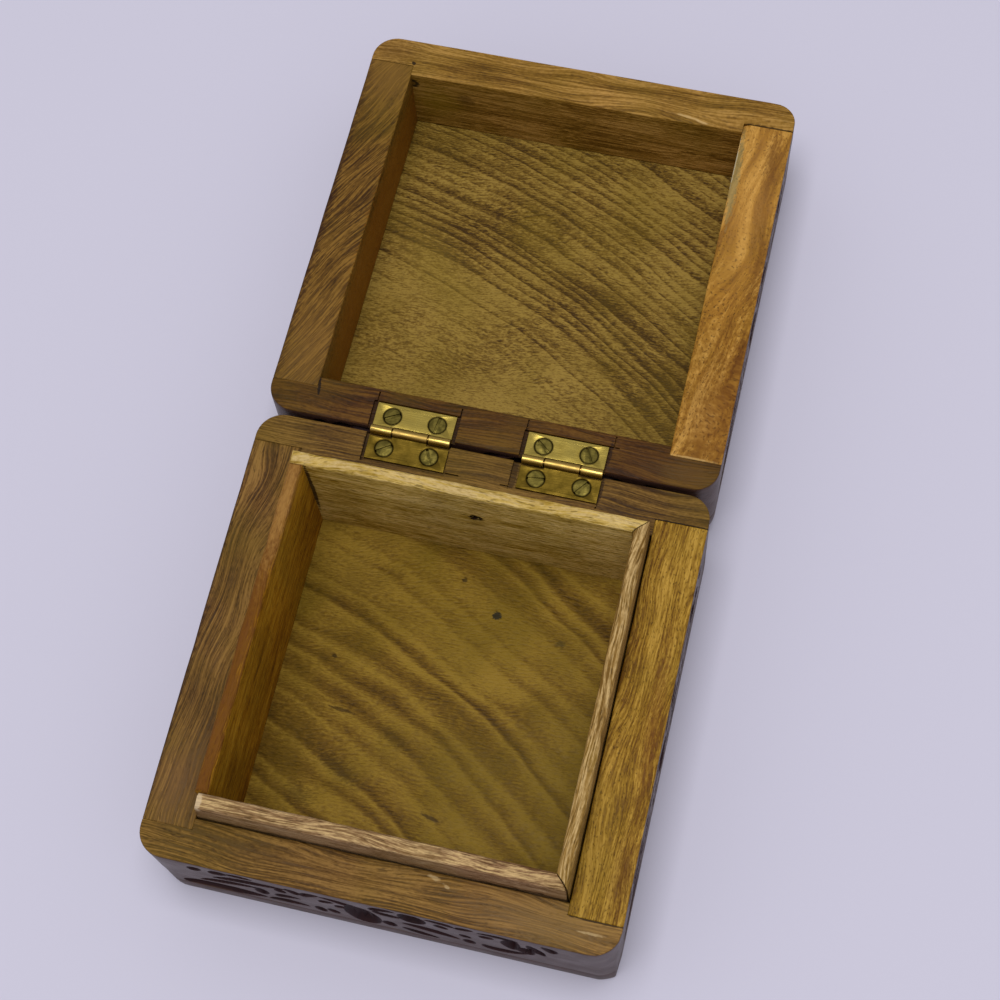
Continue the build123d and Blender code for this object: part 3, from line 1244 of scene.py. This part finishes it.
@dataclass
class BaseTray(Tray):
    """The carved base: four walls on a bottom panel."""

    body: Body = Body.BASE
    front_node: str = "base_front_wall"
    back_node: str = "base_back_wall"
    left_node: str = "base_left_wall"
    right_node: str = "base_right_wall"
    panel_node: str = "base_bottom_panel"
    corners: dict[tuple[bool, bool], Corner] = field(
        default_factory=lambda: {
            (False, False): Corner(6.0, 6.0),
            (True, False): Corner(4.9, 1.6, 0.3, 2.6),
            (False, True): Corner(6.0, 6.0),
            (True, True): Corner(5.4, 5.0),
        }
    )
    foot_edge_mm: float = 0.5

    def build(self, hinges: "Hinges") -> None:
        """Models and dresses the boards of the base.

        Args:
            hinges: Gives the hinge mortises for the back wall.
        """
        panel = self.panel("base_floor_panel", self.foot_edge_mm)
        self.dress(panel, self.panel_node, BASE_FLOOR, "panel_wood", OUTSIDE)
        spray = Relief(LEAF_SPRAY, shift=(0.0, -7.1))
        front = self.wall("base_front_board", self.front_node, Facing.FRONT, spray, self.rabbets())
        self.dress(front, self.front_node, BASE_FRONT, "wall_wood", OUTSIDE)
        cutters = self.rabbets() + hinges.mortises(BASE_BEDS, 1.0)
        turned = replace(spray, stretch=(-1.0, 1.0))
        back = self.wall("base_back_board", self.back_node, Facing.BACK, turned, cutters)
        self.dress(back, self.back_node, BASE_BACK, "wall_wood", OUTSIDE)
        turned = replace(spray, stretch=(-0.95, 1.0))
        left = self.wall("base_left_board", self.left_node, Facing.LEFT, turned)
        self.dress(left, self.left_node, BASE_LEFT, "wall_wood", OUTSIDE_SIDES)
        short = replace(spray, stretch=(0.95, 1.0))
        right = self.wall("base_right_board", self.right_node, Facing.RIGHT, short)
        self.dress(right, self.right_node, BASE_RIGHT, "wall_wood", OUTSIDE_SIDES)


@dataclass
class LidTray(Tray):
    """The carved lid: four walls on a top panel, laid open behind the base."""

    body: Body = Body.LID
    front_node: str = "lid_front_wall"
    back_node: str = "lid_back_wall"
    left_node: str = "lid_left_wall"
    right_node: str = "lid_right_wall"
    panel_node: str = "lid_top_panel"
    corners: dict[tuple[bool, bool], Corner] = field(
        default_factory=lambda: {
            (False, False): Corner(5.8, 5.8),
            (True, False): Corner(5.6, 5.6),
            (False, True): Corner(5.8, 5.8),
            (True, True): Corner(5.0, 5.0),
        }
    )
    top_edge_mm: float = 3.0
    top_rows: int = 4
    top_pitch_mm: float = 21.8
    top_cell_mm: float = 0.4
    top_margin_mm: float = 1.2
    worn_mm: tuple[float, float, float] = (27.0, 1.8, 1.2)

    def build(self, hinges: "Hinges") -> None:
        """Models and dresses the boards of the lid.

        Args:
            hinges: Gives the hinge mortises for the wall at the hinge.
        """
        panel = self.panel("lid_floor_panel", self.top_edge_mm)
        self._carve_top(panel)
        self.dress(panel, self.panel_node, LID_FLOOR, "panel_wood", OUTSIDE)
        spray = Relief(LEAF_SPRAY, stretch=(1.0, 0.78), shift=(0.0, -5.5))
        turned = replace(spray, stretch=(-1.0, 0.78))
        far = self.wall("lid_far_board", self.front_node, Facing.BACK, turned, self.rabbets())
        self.dress(far, self.front_node, LID_FAR, "wall_wood", OUTSIDE)
        cutters = self.rabbets() + hinges.mortises(LID_BEDS, -1.0)
        near = self.wall("lid_hinge_board", self.back_node, Facing.FRONT, spray, cutters)
        self.dress(near, self.back_node, LID_NEAR, "wall_wood", OUTSIDE)
        turned = replace(spray, stretch=(-0.95, 0.78))
        left = self.wall("lid_left_board", self.left_node, Facing.LEFT, turned)
        self.dress(left, self.left_node, LID_LEFT, "wall_wood", OUTSIDE_SIDES)
        short = replace(spray, stretch=(0.95, 0.78))
        right = self.wall("lid_right_board", self.right_node, Facing.RIGHT, short)
        self._wear_edge(right)
        self.dress(right, self.right_node, LID_RIGHT, "wall_wood", OUTSIDE_SIDES)

    def _carve_top(self, panel: bpy.types.Object) -> None:
        """Carves the outside of the panel with rows of the leaf spray.

        Args:
            panel: The panel, in the flat frame.
        """
        lo, hi = flat_box(self.panel_node)
        middle = (lo + hi) / 2
        half = (self.top_rows * self.top_pitch_mm / 2 + self.top_margin_mm) * MM
        along = (middle.x - half, middle.x + half)
        height = (middle.y - half, middle.y + half)
        rows = Relief(leaf_rows(self.top_rows, self.top_pitch_mm), shift=(0.0, self.top_margin_mm))
        CarvedField(Facing.DOWN, along, height, lo.z, rows, cell_mm=self.top_cell_mm).cut_into(panel)

    def _wear_edge(self, right: bpy.types.Object) -> None:
        """Planes a narrow slope on the inner top edge of the right board, widest at its far end.

        Args:
            right: The board, in the flat frame.
        """
        lo, hi = flat_box(self.right_node)
        start = Vector((lo.x, hi.y - self.worn_mm[0] * MM, hi.z))
        wide = Vector((lo.x + self.worn_mm[1] * MM, hi.y, hi.z))
        deep = Vector((lo.x, hi.y, hi.z - self.worn_mm[2] * MM))
        trim(right, start, (wide - start).cross(deep - start).normalized())


@dataclass
class Liner:
    """The thin raised strips inside the base, mitred at the right and butted at the left."""

    tray: BaseTray
    round_mm: float = 1.0
    slice_mm: float = 1.3
    fuzz_mm: float = 0.22
    gap_mm: float = 0.25
    front_out_mm: float = 0.45
    front_short_mm: float = 1.1
    hole_at_mm: tuple[float, float] = (0.9, 28.6)
    hole_mm: float = 1.3
    hole_start_mm: float = 3.0
    fuzz_size_mm: tuple[float, float, float] = (1.6, 1.6, 3.0)
    fuzz_long_mm: float = 5.0
    end_lean: float = 0.12

    def build(self) -> None:
        """Models and dresses the four strips."""
        right_lo, right_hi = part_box("liner_right")
        front_corner = Vector((right_hi.x, right_lo.y, 0.0))
        back_corner = Vector((right_hi.x, right_hi.y, 0.0))
        front_out = Vector((1.0, 1.0, 0.0)).normalized()
        back_out = Vector((1.0, -1.0, 0.0)).normalized()
        gap = self.gap_mm * MM
        front = self._strip("liner_front_strip", "liner_front", 0, self.front_out_mm * MM)
        trim(front, front_corner - front_out * gap, front_out)
        front_end = Vector((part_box("liner_front")[0].x + self.front_short_mm * MM, 0.0, right_hi.z))
        trim(front, front_end, Vector((-1.0, 0.0, self.end_lean)).normalized())
        back = self._strip("liner_back_strip", "liner_back", 0)
        trim(back, back_corner - back_out * gap, back_out)
        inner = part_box("liner_back")[0].y
        across, up = self.hole_at_mm
        hole = Vector((across * MM, inner - self.hole_start_mm * MM, up * MM))
        cut_away(back, [add_rod("hole", hole, hole + on_axis(1, OVERCUT), self.hole_mm * MM)])
        left = self._strip("liner_left_strip", "liner_left", 1)
        right = self._strip("liner_right_strip", "liner_right", 1)
        trim(right, front_corner, -front_out)
        trim(right, back_corner, -back_out)
        for strip, node, finish in (
            (front, "liner_front", LINER_FRONT),
            (back, "liner_back", LINER_BACK),
            (left, "liner_left", LINER_LEFT),
            (right, "liner_right", LINER_RIGHT),
        ):
            self.tray.dress(strip, node, finish, "liner_wood")

    def _strip(self, name: str, node: str, run: int, outward: float = 0.0) -> bpy.types.Object:
        """Models one strip with a rounded, fuzzy top.

        Args:
            name: The piece's name.
            node: The CAD node that it stands for.
            run: Number of the axis that it runs along.
            outward: How much further it reaches into the gap at its front, in metres.

        Returns:
            The strip with square ends.
        """
        lo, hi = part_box(node)
        lo.y -= outward
        obj = add_box(name, lo, hi)
        slice_across(obj, run, evenly(lo[run], hi[run], self.slice_mm * MM)[1:-1])

        def top_edge(edge: Edge) -> bool:
            """Says whether an edge runs along the top."""
            return is_sharp(edge) and all(v.co.z > hi.z - TOUCHING for v in edge.verts)

        round_edges(obj, top_edge, self.round_mm * MM, 4)
        size = Vector(self.fuzz_size_mm)
        size[run] = self.fuzz_long_mm
        weather(obj, lo, hi, self.fuzz_mm * MM, size * MM)
        return obj


@dataclass(frozen=True)
class Bed:
    """The mortise of one hinge leaf: how far it is cut past the leaf, and the saw kerfs that overran, in mm.

    A kerf runs from one x to another and from one distance from the hinge line to another.
    """

    leaf: str
    left: float
    right: float
    far: float
    kerfs: tuple[tuple[float, float, float, float], ...]


BASE_BEDS = (
    Bed("left_hinge_base_leaf", 0.7, 0.35, 0.9, ((-8.0, -4.6, 6.7, 7.0),)),
    Bed("right_hinge_base_leaf", 1.7, 0.35, 0.8, ((25.95, 26.3, 1.5, 8.2), (4.7, 6.6, 6.8, 7.1))),
)
LID_BEDS = (
    Bed("left_hinge_lid_leaf", 1.0, 0.9, 0.25, ((-26.5, -26.15, 1.5, 9.2), (-7.6, -7.25, 1.5, 9.0))),
    Bed(
        "right_hinge_lid_leaf",
        1.0,
        0.4,
        0.25,
        ((7.3, 7.65, 1.5, 9.5), (27.0, 27.35, 6.8, 9.5), (26.3, 28.4, 6.7, 7.0)),
    ),
)


@dataclass
class Hinges:
    """The two brass butt hinges with their pins and screws, and the mortises that they lie in."""

    barrel_clear_mm: float = 1.45
    kerf_deep_mm: float = 0.9
    edge_mm: float = 0.1

    def build(self) -> None:
        """Eases the edges of the hinge parts and gives them their brass."""
        for side in ("left", "right"):
            self._dress(f"{side}_hinge_lid_leaf", LEAF_BRIGHT.material(Body.LID))
            self._dress(f"{side}_hinge_base_leaf", LEAF_DULL.material(Body.BASE))
            self._dress(f"{side}_hinge_pin", PIN_BRASS.material(Body.BASE))
        self._dress("base_hinge_screws", SCREW_BRASS.material(Body.BASE))
        self._dress("lid_hinge_screws", SCREW_BRASS.material(Body.LID))

    def _dress(self, node: str, material: bpy.types.Material) -> None:
        """Gives a CAD node of the hinges eased edges and a material.

        Args:
            node: The node's name.
            material: Its brass.
        """
        obj = frame["nodes"][node]
        weld = obj.modifiers.new("weld", "WELD")
        weld.merge_threshold = TOUCHING
        ease = obj.modifiers.new("ease", "BEVEL")
        ease.width = self.edge_mm * MM
        ease.segments = 2
        ease.limit_method = "ANGLE"
        ease.angle_limit = math.radians(SHARP_DEG)
        steady = obj.modifiers.new("steady", "WEIGHTED_NORMAL")
        steady.keep_sharp = True
        only(obj)
        bpy.ops.object.shade_smooth_by_angle(angle=math.radians(SMOOTH_DEG))
        obj.data.materials.clear()
        obj.data.materials.append(material)
        LOG.info("hinge part %s", node)

    def mortises(self, beds: tuple[Bed, ...], out: float) -> list[bpy.types.Object]:
        """Makes the blocks that cut the mortises of one wall: beds, hollows for the barrels and kerfs.

        Args:
            beds: The beds of the wall.
            out: Sign of the direction from the wall to the hinge line.

        Returns:
            The blocks.
        """
        blocks = []
        for bed in beds:
            lo, hi = flat_box(bed.leaf)
            start = Vector((lo.x - bed.left * MM, lo.y - bed.far * MM, lo.z))
            end = Vector((hi.x + bed.right * MM, HINGE_LINE.y + OVERCUT, hi.z + OVERCUT))
            if out < 0:
                start.y = HINGE_LINE.y - OVERCUT
                end.y = hi.y + bed.far * MM
            blocks.append(add_box("bed", start, end))
            left = Vector((start.x, HINGE_LINE.y, HINGE_LINE.z))
            right = Vector((end.x, HINGE_LINE.y, HINGE_LINE.z))
            blocks.append(add_rod("hollow", left, right, self.barrel_clear_mm * MM))
            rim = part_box("base_back_wall")[1].z
            for x0, x1, near, far in bed.kerfs:
                ends = sorted((HINGE_LINE.y - out * near * MM, HINGE_LINE.y - out * far * MM))
                low = Vector((x0 * MM, ends[0], rim - self.kerf_deep_mm * MM))
                high = Vector((x1 * MM, ends[1], rim + OVERCUT))
                blocks.append(add_box("kerf", low, high))
        return blocks


# The woods, board by board. Sheesham runs from straw to dark brown in one plank, so each board has its own.

OUTSIDE = LacquerFinish("stained sheesham under gloss lacquer")
OUTSIDE_SIDES = LacquerFinish("stained sheesham under gloss lacquer, side boards", grain_deg=90.0)
BASE_FLOOR = WoodFinish(
    "lacquered sheesham, olive tray floor",
    "#473004",
    "#6f5214",
    "#937527",
    tint="#665205",
    tint_share=0.5,
    grain_deg=4.0,
    line_mm=(2.2, 0.45),
    line_share=0.14,
    streak_share=0.04,
    mottle_share=0.24,
    patch_share=0.25,
    pore_mm=(1.6, 0.34),
    pore_share=0.2,
    ring_share=0.9,
    ring_mm=5.8,
    ring_power=1.0,
    ring_soft=0.42,
    ring_centre=(-100.0, -179.0),
    spots=(
        Spot((-30.0, -20.0, 6.2), (8.0, 26.0, 1.5), "#5c4703", 0.0, 0.5, 1.2),
        Spot((-27.0, 24.0, 6.2), (14.0, 16.0, 1.5), "#4f3b03", 0.0, 0.35, 1.3),
        Spot((-18.5, -19.0, 6.2), (8.0, 2.4, 1.5), "#3d2b06", -28.0, 0.55, 1.0),
        Spot((-25.5, -27.0, 6.2), (4.5, 3.0, 1.5), "#3d2b06", -20.0, 0.45, 1.0),
        Spot((-8.0, -10.0, 6.2), (7.0, 1.6, 1.5), "#3d2b06", -30.0, 0.4, 1.0),
        Spot((-21.0, -6.2, 6.2), (3.2, 0.45, 1.5), "#3a2707", -5.0, 0.75, 0.6),
        Spot((4.2, -25.5, 6.2), (2.4, 0.5, 1.5), "#35240a", -14.0, 0.75, 0.6),
        Spot((7.8, 22.4, 6.2), (1.1, 0.9, 1.5), "#1f1f16"),
        Spot((-1.2, 29.1, 6.2), (0.6, 0.5, 1.5), "#2c1f08", share=0.75),
        Spot((-25.5, 5.5, 6.2), (0.6, 0.5, 1.5), "#2c1f08", share=0.75),
        Spot((23.3, 19.0, 6.2), (1.5, 1.0, 1.5), "#353218", share=0.5, soft=0.8),
    ),
)
LID_FLOOR = WoodFinish(
    "lacquered sheesham, ringed lid panel",
    "#412b06",
    "#71551b",
    "#9a7d37",
    grain_deg=3.0,
    line_mm=(1.5, 0.3),
    line_share=0.34,
    mottle_mm=(0.8, 0.32),
    mottle_share=0.36,
    streak_share=0.05,
    pore_mm=(2.0, 0.36),
    pore_share=0.3,
    ring_share=0.64,
    ring_mm=2.7,
    ring_power=1.5,
    ring_soft=0.16,
    ring_from_mm=172.0,
    ring_centre=(-87.0, -74.0),
    wobble_mm=1.2,
    seed=11.0,
    spots=(Spot((-26.0, 104.0, 12.0), (9.0, 20.0, 3.0), "#8c7426", 40.0, 0.4, 1.2),),
)
BASE_FRONT = WoodFinish(
    "lacquered sheesham, brown front board",
    "#482f0f",
    "#765425",
    "#97723b",
    line_share=0.62,
    streak_share=0.42,
    pore_share=0.45,
    seed=23.0,
    spots=(
        Spot((-16.0, -46.0, 31.4), (26.0, 7.0, 6.0), "#5a3d16", 0.0, 0.4, 1.2),
        Spot((34.0, -46.0, 31.4), (22.0, 7.0, 6.0), "#97774a", 0.0, 0.5, 1.2),
        Spot((11.4, -42.1, 31.4), (1.6, 0.55, 1.0), "#c4a878", -19.0, 0.6, 0.7),
        Spot((14.2, -43.3, 31.4), (1.0, 0.4, 1.0), "#c4a878", -30.0, 0.55, 0.7),
        Spot((44.6, -46.1, 31.4), (2.9, 0.3, 1.0), "#c4a878", 0.0, 0.55, 0.7),
        Spot((45.6, -43.5, 31.4), (6.0, 0.28, 1.0), "#1a0d04", share=0.8),
    ),
)
BASE_BACK = WoodFinish(
    "lacquered sheesham, dark back board",
    "#3a240a",
    "#64471a",
    "#85642e",
    pore_share=0.35,
    seed=31.0,
    spots=(
        # Painted shade along the edges of the hinge mortises and in the saw kerfs
        Spot((-26.6, 47.4, 30.6), (0.5, 4.0, 1.2), "#1f0d04", share=0.75),
        Spot((7.0, 47.4, 30.6), (0.9, 4.0, 1.2), "#1f0d04", share=0.6),
        Spot((26.5, 47.4, 30.6), (0.5, 4.0, 1.2), "#1f0d04", share=0.75),
        Spot((45.6, 43.4, 31.4), (6.0, 0.28, 1.0), "#1a0d04", share=0.8),
        # Painted shade on the wall seen through the hole in the back strip
        Spot((0.9, 39.6, 28.6), (2.6, 1.5, 2.4), "#1a0c03", share=1.0),
    ),
)
BASE_LEFT = WoodFinish(
    "lacquered sheesham, dark left board",
    "#40290f",
    "#6b4a20",
    "#8d6934",
    grain_deg=84.0,
    bend_mm=5.0,
    line_mm=(18.0, 0.36),
    line_share=0.5,
    streak_share=0.4,
    pore_share=0.52,
    seed=43.0,
    spots=(
        Spot((-45.0, -34.0, 31.4), (8.0, 14.0, 6.0), "#82603a", 0.0, 0.4, 1.2),
        Spot((-51.0, 0.0, 31.4), (0.9, 60.0, 6.0), "#2a140c", share=0.7, soft=0.6),
    ),
)
BASE_RIGHT = WoodFinish(
    "lacquered sheesham, honey right board",
    "#68440a",
    "#96701f",
    "#bb923c",
    grain_deg=88.0,
    line_mm=(6.0, 0.45),
    line_share=0.5,
    streak_share=0.5,
    pore_share=0.55,
    pore_mm=(0.9, 0.34),
    seed=57.0,
    spots=(
        Spot((48.2, -2.0, 31.4), (2.4, 26.0, 6.0), "#6f400e", 2.0, 0.5, 1.2),
        Spot((48.6, -33.0, 31.4), (3.2, 12.0, 6.0), "#5a320c", 0.0, 0.55, 1.2),
    ),
)
LID_FAR = WoodFinish(
    "lacquered sheesham, mid-brown far board",
    "#5c3c0a",
    "#8b6525",
    "#b48946",
    pore_share=0.3,
    seed=61.0,
    spots=(
        Spot((-46.0, 148.5, 31.4), (11.0, 6.0, 6.0), "#5f3f16", 0.0, 0.5, 1.2),
        Spot((26.0, 144.7, 31.4), (3.4, 0.35, 1.0), "#cfae76", -7.0, 0.6, 0.7),
        Spot((29.6, 143.9, 31.4), (1.6, 0.35, 1.0), "#cfae76", -12.0, 0.6, 0.7),
        Spot((45.6, 145.5, 31.4), (6.0, 0.28, 1.0), "#1a0d04", share=0.8),
        Spot((-35.0, 143.0, 22.0), (8.0, 2.0, 7.0), "#7d6410", 0.0, 0.5, 1.1),
        Spot((-27.5, 143.0, 24.5), (2.6, 2.0, 3.2), "#3c2408", 0.0, 0.5, 1.0),
        Spot((-40.2, 143.0, 27.7), (1.4, 1.2, 1.6), "#140b02"),
        Spot((-40.2, 143.0, 27.7), (0.6, 1.2, 0.7), "#6b4e1a", share=0.8),
        Spot((-40.6, 146.2, 31.4), (0.5, 0.5, 1.0), "#1c1005"),
    ),
)
LID_NEAR = WoodFinish(
    "lacquered sheesham, dark hinge board",
    "#2c1602",
    "#4a2b08",
    "#674516",
    pore_share=0.4,
    seed=73.0,
    spots=(
        Spot((-40.0, 58.7, 31.4), (0.35, 2.2, 1.0), "#180c04", 8.0),
        Spot((44.0, 55.0, 31.4), (12.0, 4.0, 6.0), "#6a4c22", 0.0, 0.5, 1.2),
        # Painted shade along the edges of the hinge mortises and in the saw kerfs
        Spot((-26.7, 55.4, 30.6), (0.6, 4.0, 1.2), "#1f0d04", share=0.75),
        Spot((-7.6, 55.4, 30.6), (0.6, 4.0, 1.2), "#1f0d04", share=0.75),
        Spot((7.5, 55.4, 30.6), (0.6, 4.0, 1.2), "#1f0d04", share=0.75),
        Spot((26.6, 56.5, 30.6), (0.5, 4.0, 1.2), "#1f0d04", share=0.75),
    ),
)
LID_LEFT = WoodFinish(
    "lacquered sheesham, walnut-dark left board",
    "#3a2307",
    "#614211",
    "#856126",
    grain_deg=61.0,
    streak_mm=(26.0, 1.6),
    line_mm=(9.0, 0.4),
    line_share=0.54,
    streak_share=0.38,
    pore_share=0.58,
    seed=87.0,
    spots=(
        Spot((-45.0, 142.0, 31.4), (9.0, 14.0, 6.0), "#83602a", 0.0, 0.6, 1.2),
        Spot((-45.0, 66.0, 31.4), (9.0, 18.0, 6.0), "#7e5c2a", 0.0, 0.5, 1.2),
        Spot((-51.0, 102.0, 31.4), (2.0, 60.0, 6.0), "#2a1108", share=0.75, soft=1.0),
        # Painted light: the inner face is laid a lighter, warmer orange
        Spot((-40.4, 100.0, 18.0), (2.0, 60.0, 12.5), "#9c5f0e", share=0.5, soft=0.5),
    ),
)
LID_RIGHT = WoodFinish(
    "lacquered sheesham, orange right board",
    "#72460e",
    "#a27126",
    "#cd9a4a",
    grain_deg=80.0,
    bend_mm=5.0,
    line_mm=(6.0, 0.8),
    line_share=0.14,
    pore_mm=(0.6, 0.42),
    pore_share=0.6,
    mottle_mm=(1.2, 0.8),
    mottle_share=0.24,
    streak_mm=(40.0, 2.8),
    streak_share=0.62,
    patch_mm=(34.0, 5.0),
    patch_share=0.44,
    seed=97.0,
    spots=(
        Spot((44.5, 126.0, 31.4), (9.0, 30.0, 6.0), "#c8944a", 0.0, 0.4, 1.2),
        Spot((46.0, 68.0, 31.4), (9.0, 30.0, 6.0), "#693d0e", 0.0, 0.55, 1.2),
        Spot((47.6, 136.0, 31.4), (2.4, 11.0, 6.0), "#5c330c", 3.0, 0.6, 1.1),
        Spot((49.6, 108.0, 31.4), (1.9, 15.0, 6.0), "#5c330c", -3.0, 0.55, 1.1),
        Spot((49.6, 84.0, 31.4), (1.6, 9.0, 6.0), "#5c330c", 0.0, 0.5, 1.1),
        Spot((39.9, 131.0, 31.0), (1.1, 14.0, 1.6), "#7c7850", 1.5, 0.6, 0.6),
        Spot((39.2, 134.0, 30.6), (0.3, 9.0, 0.6), "#d8d0b4", 0.0, 0.5, 0.6),
        Spot((44.5, 58.9, 31.4), (6.0, 0.4, 1.0), "#cfa968", 0.0, 0.6, 0.8),
    ),
)
LINER_FRONT = WoodFinish(
    "raw sawn sheesham, straw front strip",
    "#6a4a2c",
    "#997654",
    "#b99a76",
    line_mm=(6.0, 0.4),
    raw="#cfae78",
    raw_from_mm=40.9,
    roughness=0.7,
    bump_mm=0.25,
    seed=103.0,
    spots=(
        Spot((-38.2, -39.0, 40.0), (0.8, 2.5, 2.5), "#d9c09a", share=0.7),
        Spot((33.0, -40.6, 31.9), (0.9, 1.0, 0.7), "#3a2410", share=0.8),
    ),
)
LINER_BACK = WoodFinish(
    "raw sawn sheesham, straw back strip",
    "#94731a",
    "#c9a856",
    "#eacb82",
    line_mm=(6.0, 0.4),
    raw="#c8ac74",
    raw_from_mm=40.9,
    roughness=0.7,
    bump_mm=0.25,
    seed=113.0,
    spots=(
        Spot((-36.3, 36.4, 27.0), (0.6, 2.5, 13.0), "#2e1a05"),
        # Painted shade inside and round the hole through the strip
        Spot((0.9, 37.5, 28.6), (1.7, 4.0, 1.5), "#241205", share=1.0),
    ),
)
LINER_LEFT = WoodFinish(
    "raw sawn sheesham, orange left strip",
    "#704604",
    "#a06d0b",
    "#bd8e25",
    grain_deg=90.0,
    line_mm=(6.0, 0.4),
    raw="#623716",
    raw_from_mm=40.3,
    roughness=0.7,
    bump_mm=0.25,
    seed=127.0,
    spots=(Spot((-38.0, 28.0, 40.7), (3.0, 20.0, 3.0), "#b48748", 0.0, 0.6, 1.2),),
)
LINER_RIGHT = WoodFinish(
    "raw sawn sheesham, straw right strip",
    "#745421",
    "#9a763c",
    "#b89458",
    grain_deg=90.0,
    line_mm=(6.0, 0.4),
    raw="#cbab74",
    raw_from_mm=40.9,
    roughness=0.7,
    bump_mm=0.25,
    seed=131.0,
)

# The brass, from polished leaves to dull screws

LEAF_BRIGHT = BrassFinish("pressed brass, rubbed bright", "#bfa854", "#6a571c", 0.6, 0.26)
LEAF_DULL = BrassFinish("pressed brass, olive tarnish", "#745e22", "#42350b", 0.75, 0.34)
PIN_BRASS = BrassFinish("drawn brass wire", "#b8964a", "#6f5a20", 0.4, 0.28, dirt_and_crevice_shade_share=0.0)
SCREW_BRASS = BrassFinish("turned brass, greenish tarnish", "#776a32", "#48411c", 0.8, 0.4, patch_mm=1.5)


@dataclass
class Studio:
    """A pale floor, soft light from overhead and the camera of the photograph."""

    camera_place: tuple[float, float, float] = (0.063881, -0.111345, 0.456154)
    camera_turn_deg: tuple[float, float, float] = (20.76879, 2.95911, 13.23576)
    camera_lens: float = 75.593
    floor_colour: str = "#d0cddf"
    sky_colour: str = "#f4f3f6"
    sky_strength: float = 0.45
    lamp_place: tuple[float, float, float] = (0.0, -0.05, 1.25)
    lamp_aim: tuple[float, float, float] = (0.0, 0.05, 0.02)
    lamp_size: float = 0.55
    lamp_power: float = 9.2

    def build(self) -> None:
        """Sets up the floor, the light and the camera."""
        bpy.context.scene.view_settings.view_transform = "Standard"
        self._floor()
        self._sky()
        self._lamp()
        self._camera()

    def _floor(self) -> None:
        """Lays a plain floor of matt paper, whose faint tooth keeps it from looking like plastic."""
        bpy.ops.object.select_all(action="DESELECT")
        bpy.ops.mesh.primitive_plane_add(size=8.0, location=(0.0, 0.0, 0.0))
        floor = bpy.context.object
        floor.name = "floor"
        material, shade = new_material("matt paper")
        place = shade.add("TexCoord", {}, out=3)
        tooth = shade.add("TexNoise", {"Vector": place, "Scale": 900.0, "Detail": 3.0})
        look = {"Base Color": linear(self.floor_colour), "Roughness": 0.9}
        shade.surface({**look, "Normal": shade.bump(tooth, 0.1, 0.2)})
        floor.data.materials.append(material)

    def _sky(self) -> None:
        """Fills the room with even pale light."""
        world = bpy.data.worlds.new("studio")
        bpy.context.scene.world = world
        world.use_nodes = True
        shade = Shade(world.node_tree)
        shade.tree.nodes.clear()
        light = shade.add("Background", {"Color": linear(self.sky_colour), "Strength": self.sky_strength})
        shade.add("OutputWorld", {"Surface": light})

    def _lamp(self) -> None:
        """Hangs one large soft lamp overhead."""
        data = bpy.data.lights.new("window", "AREA")
        data.energy = self.lamp_power
        data.size = self.lamp_size
        lamp = bpy.data.objects.new("window", data)
        bpy.context.scene.collection.objects.link(lamp)
        lamp.location = self.lamp_place
        aim = Vector(self.lamp_aim) - Vector(self.lamp_place)
        lamp.rotation_euler = aim.to_track_quat("-Z", "Y").to_euler()

    def _camera(self) -> None:
        """Places the camera at the photograph's angle."""
        data = bpy.data.cameras.new("camera")
        data.sensor_width = 36.0
        data.lens = self.camera_lens
        data.clip_start = 0.01
        camera = bpy.data.objects.new("camera", data)
        bpy.context.scene.collection.objects.link(camera)
        camera.location = self.camera_place
        camera.rotation_euler = [math.radians(a) for a in self.camera_turn_deg]
        bpy.context.scene.camera = camera


def main() -> None:
    """Builds the box piece by piece, then the studio."""
    logging.basicConfig(level=logging.INFO, format="%(name)s: %(message)s")
    noise.seed_set(WEAR_SEED)
    hinges = Hinges()
    base = BaseTray()
    base.build(hinges)
    LidTray().build(hinges)
    Liner(base).build()
    hinges.build()
    Studio().build()


if __name__ == "__main__":
    main()
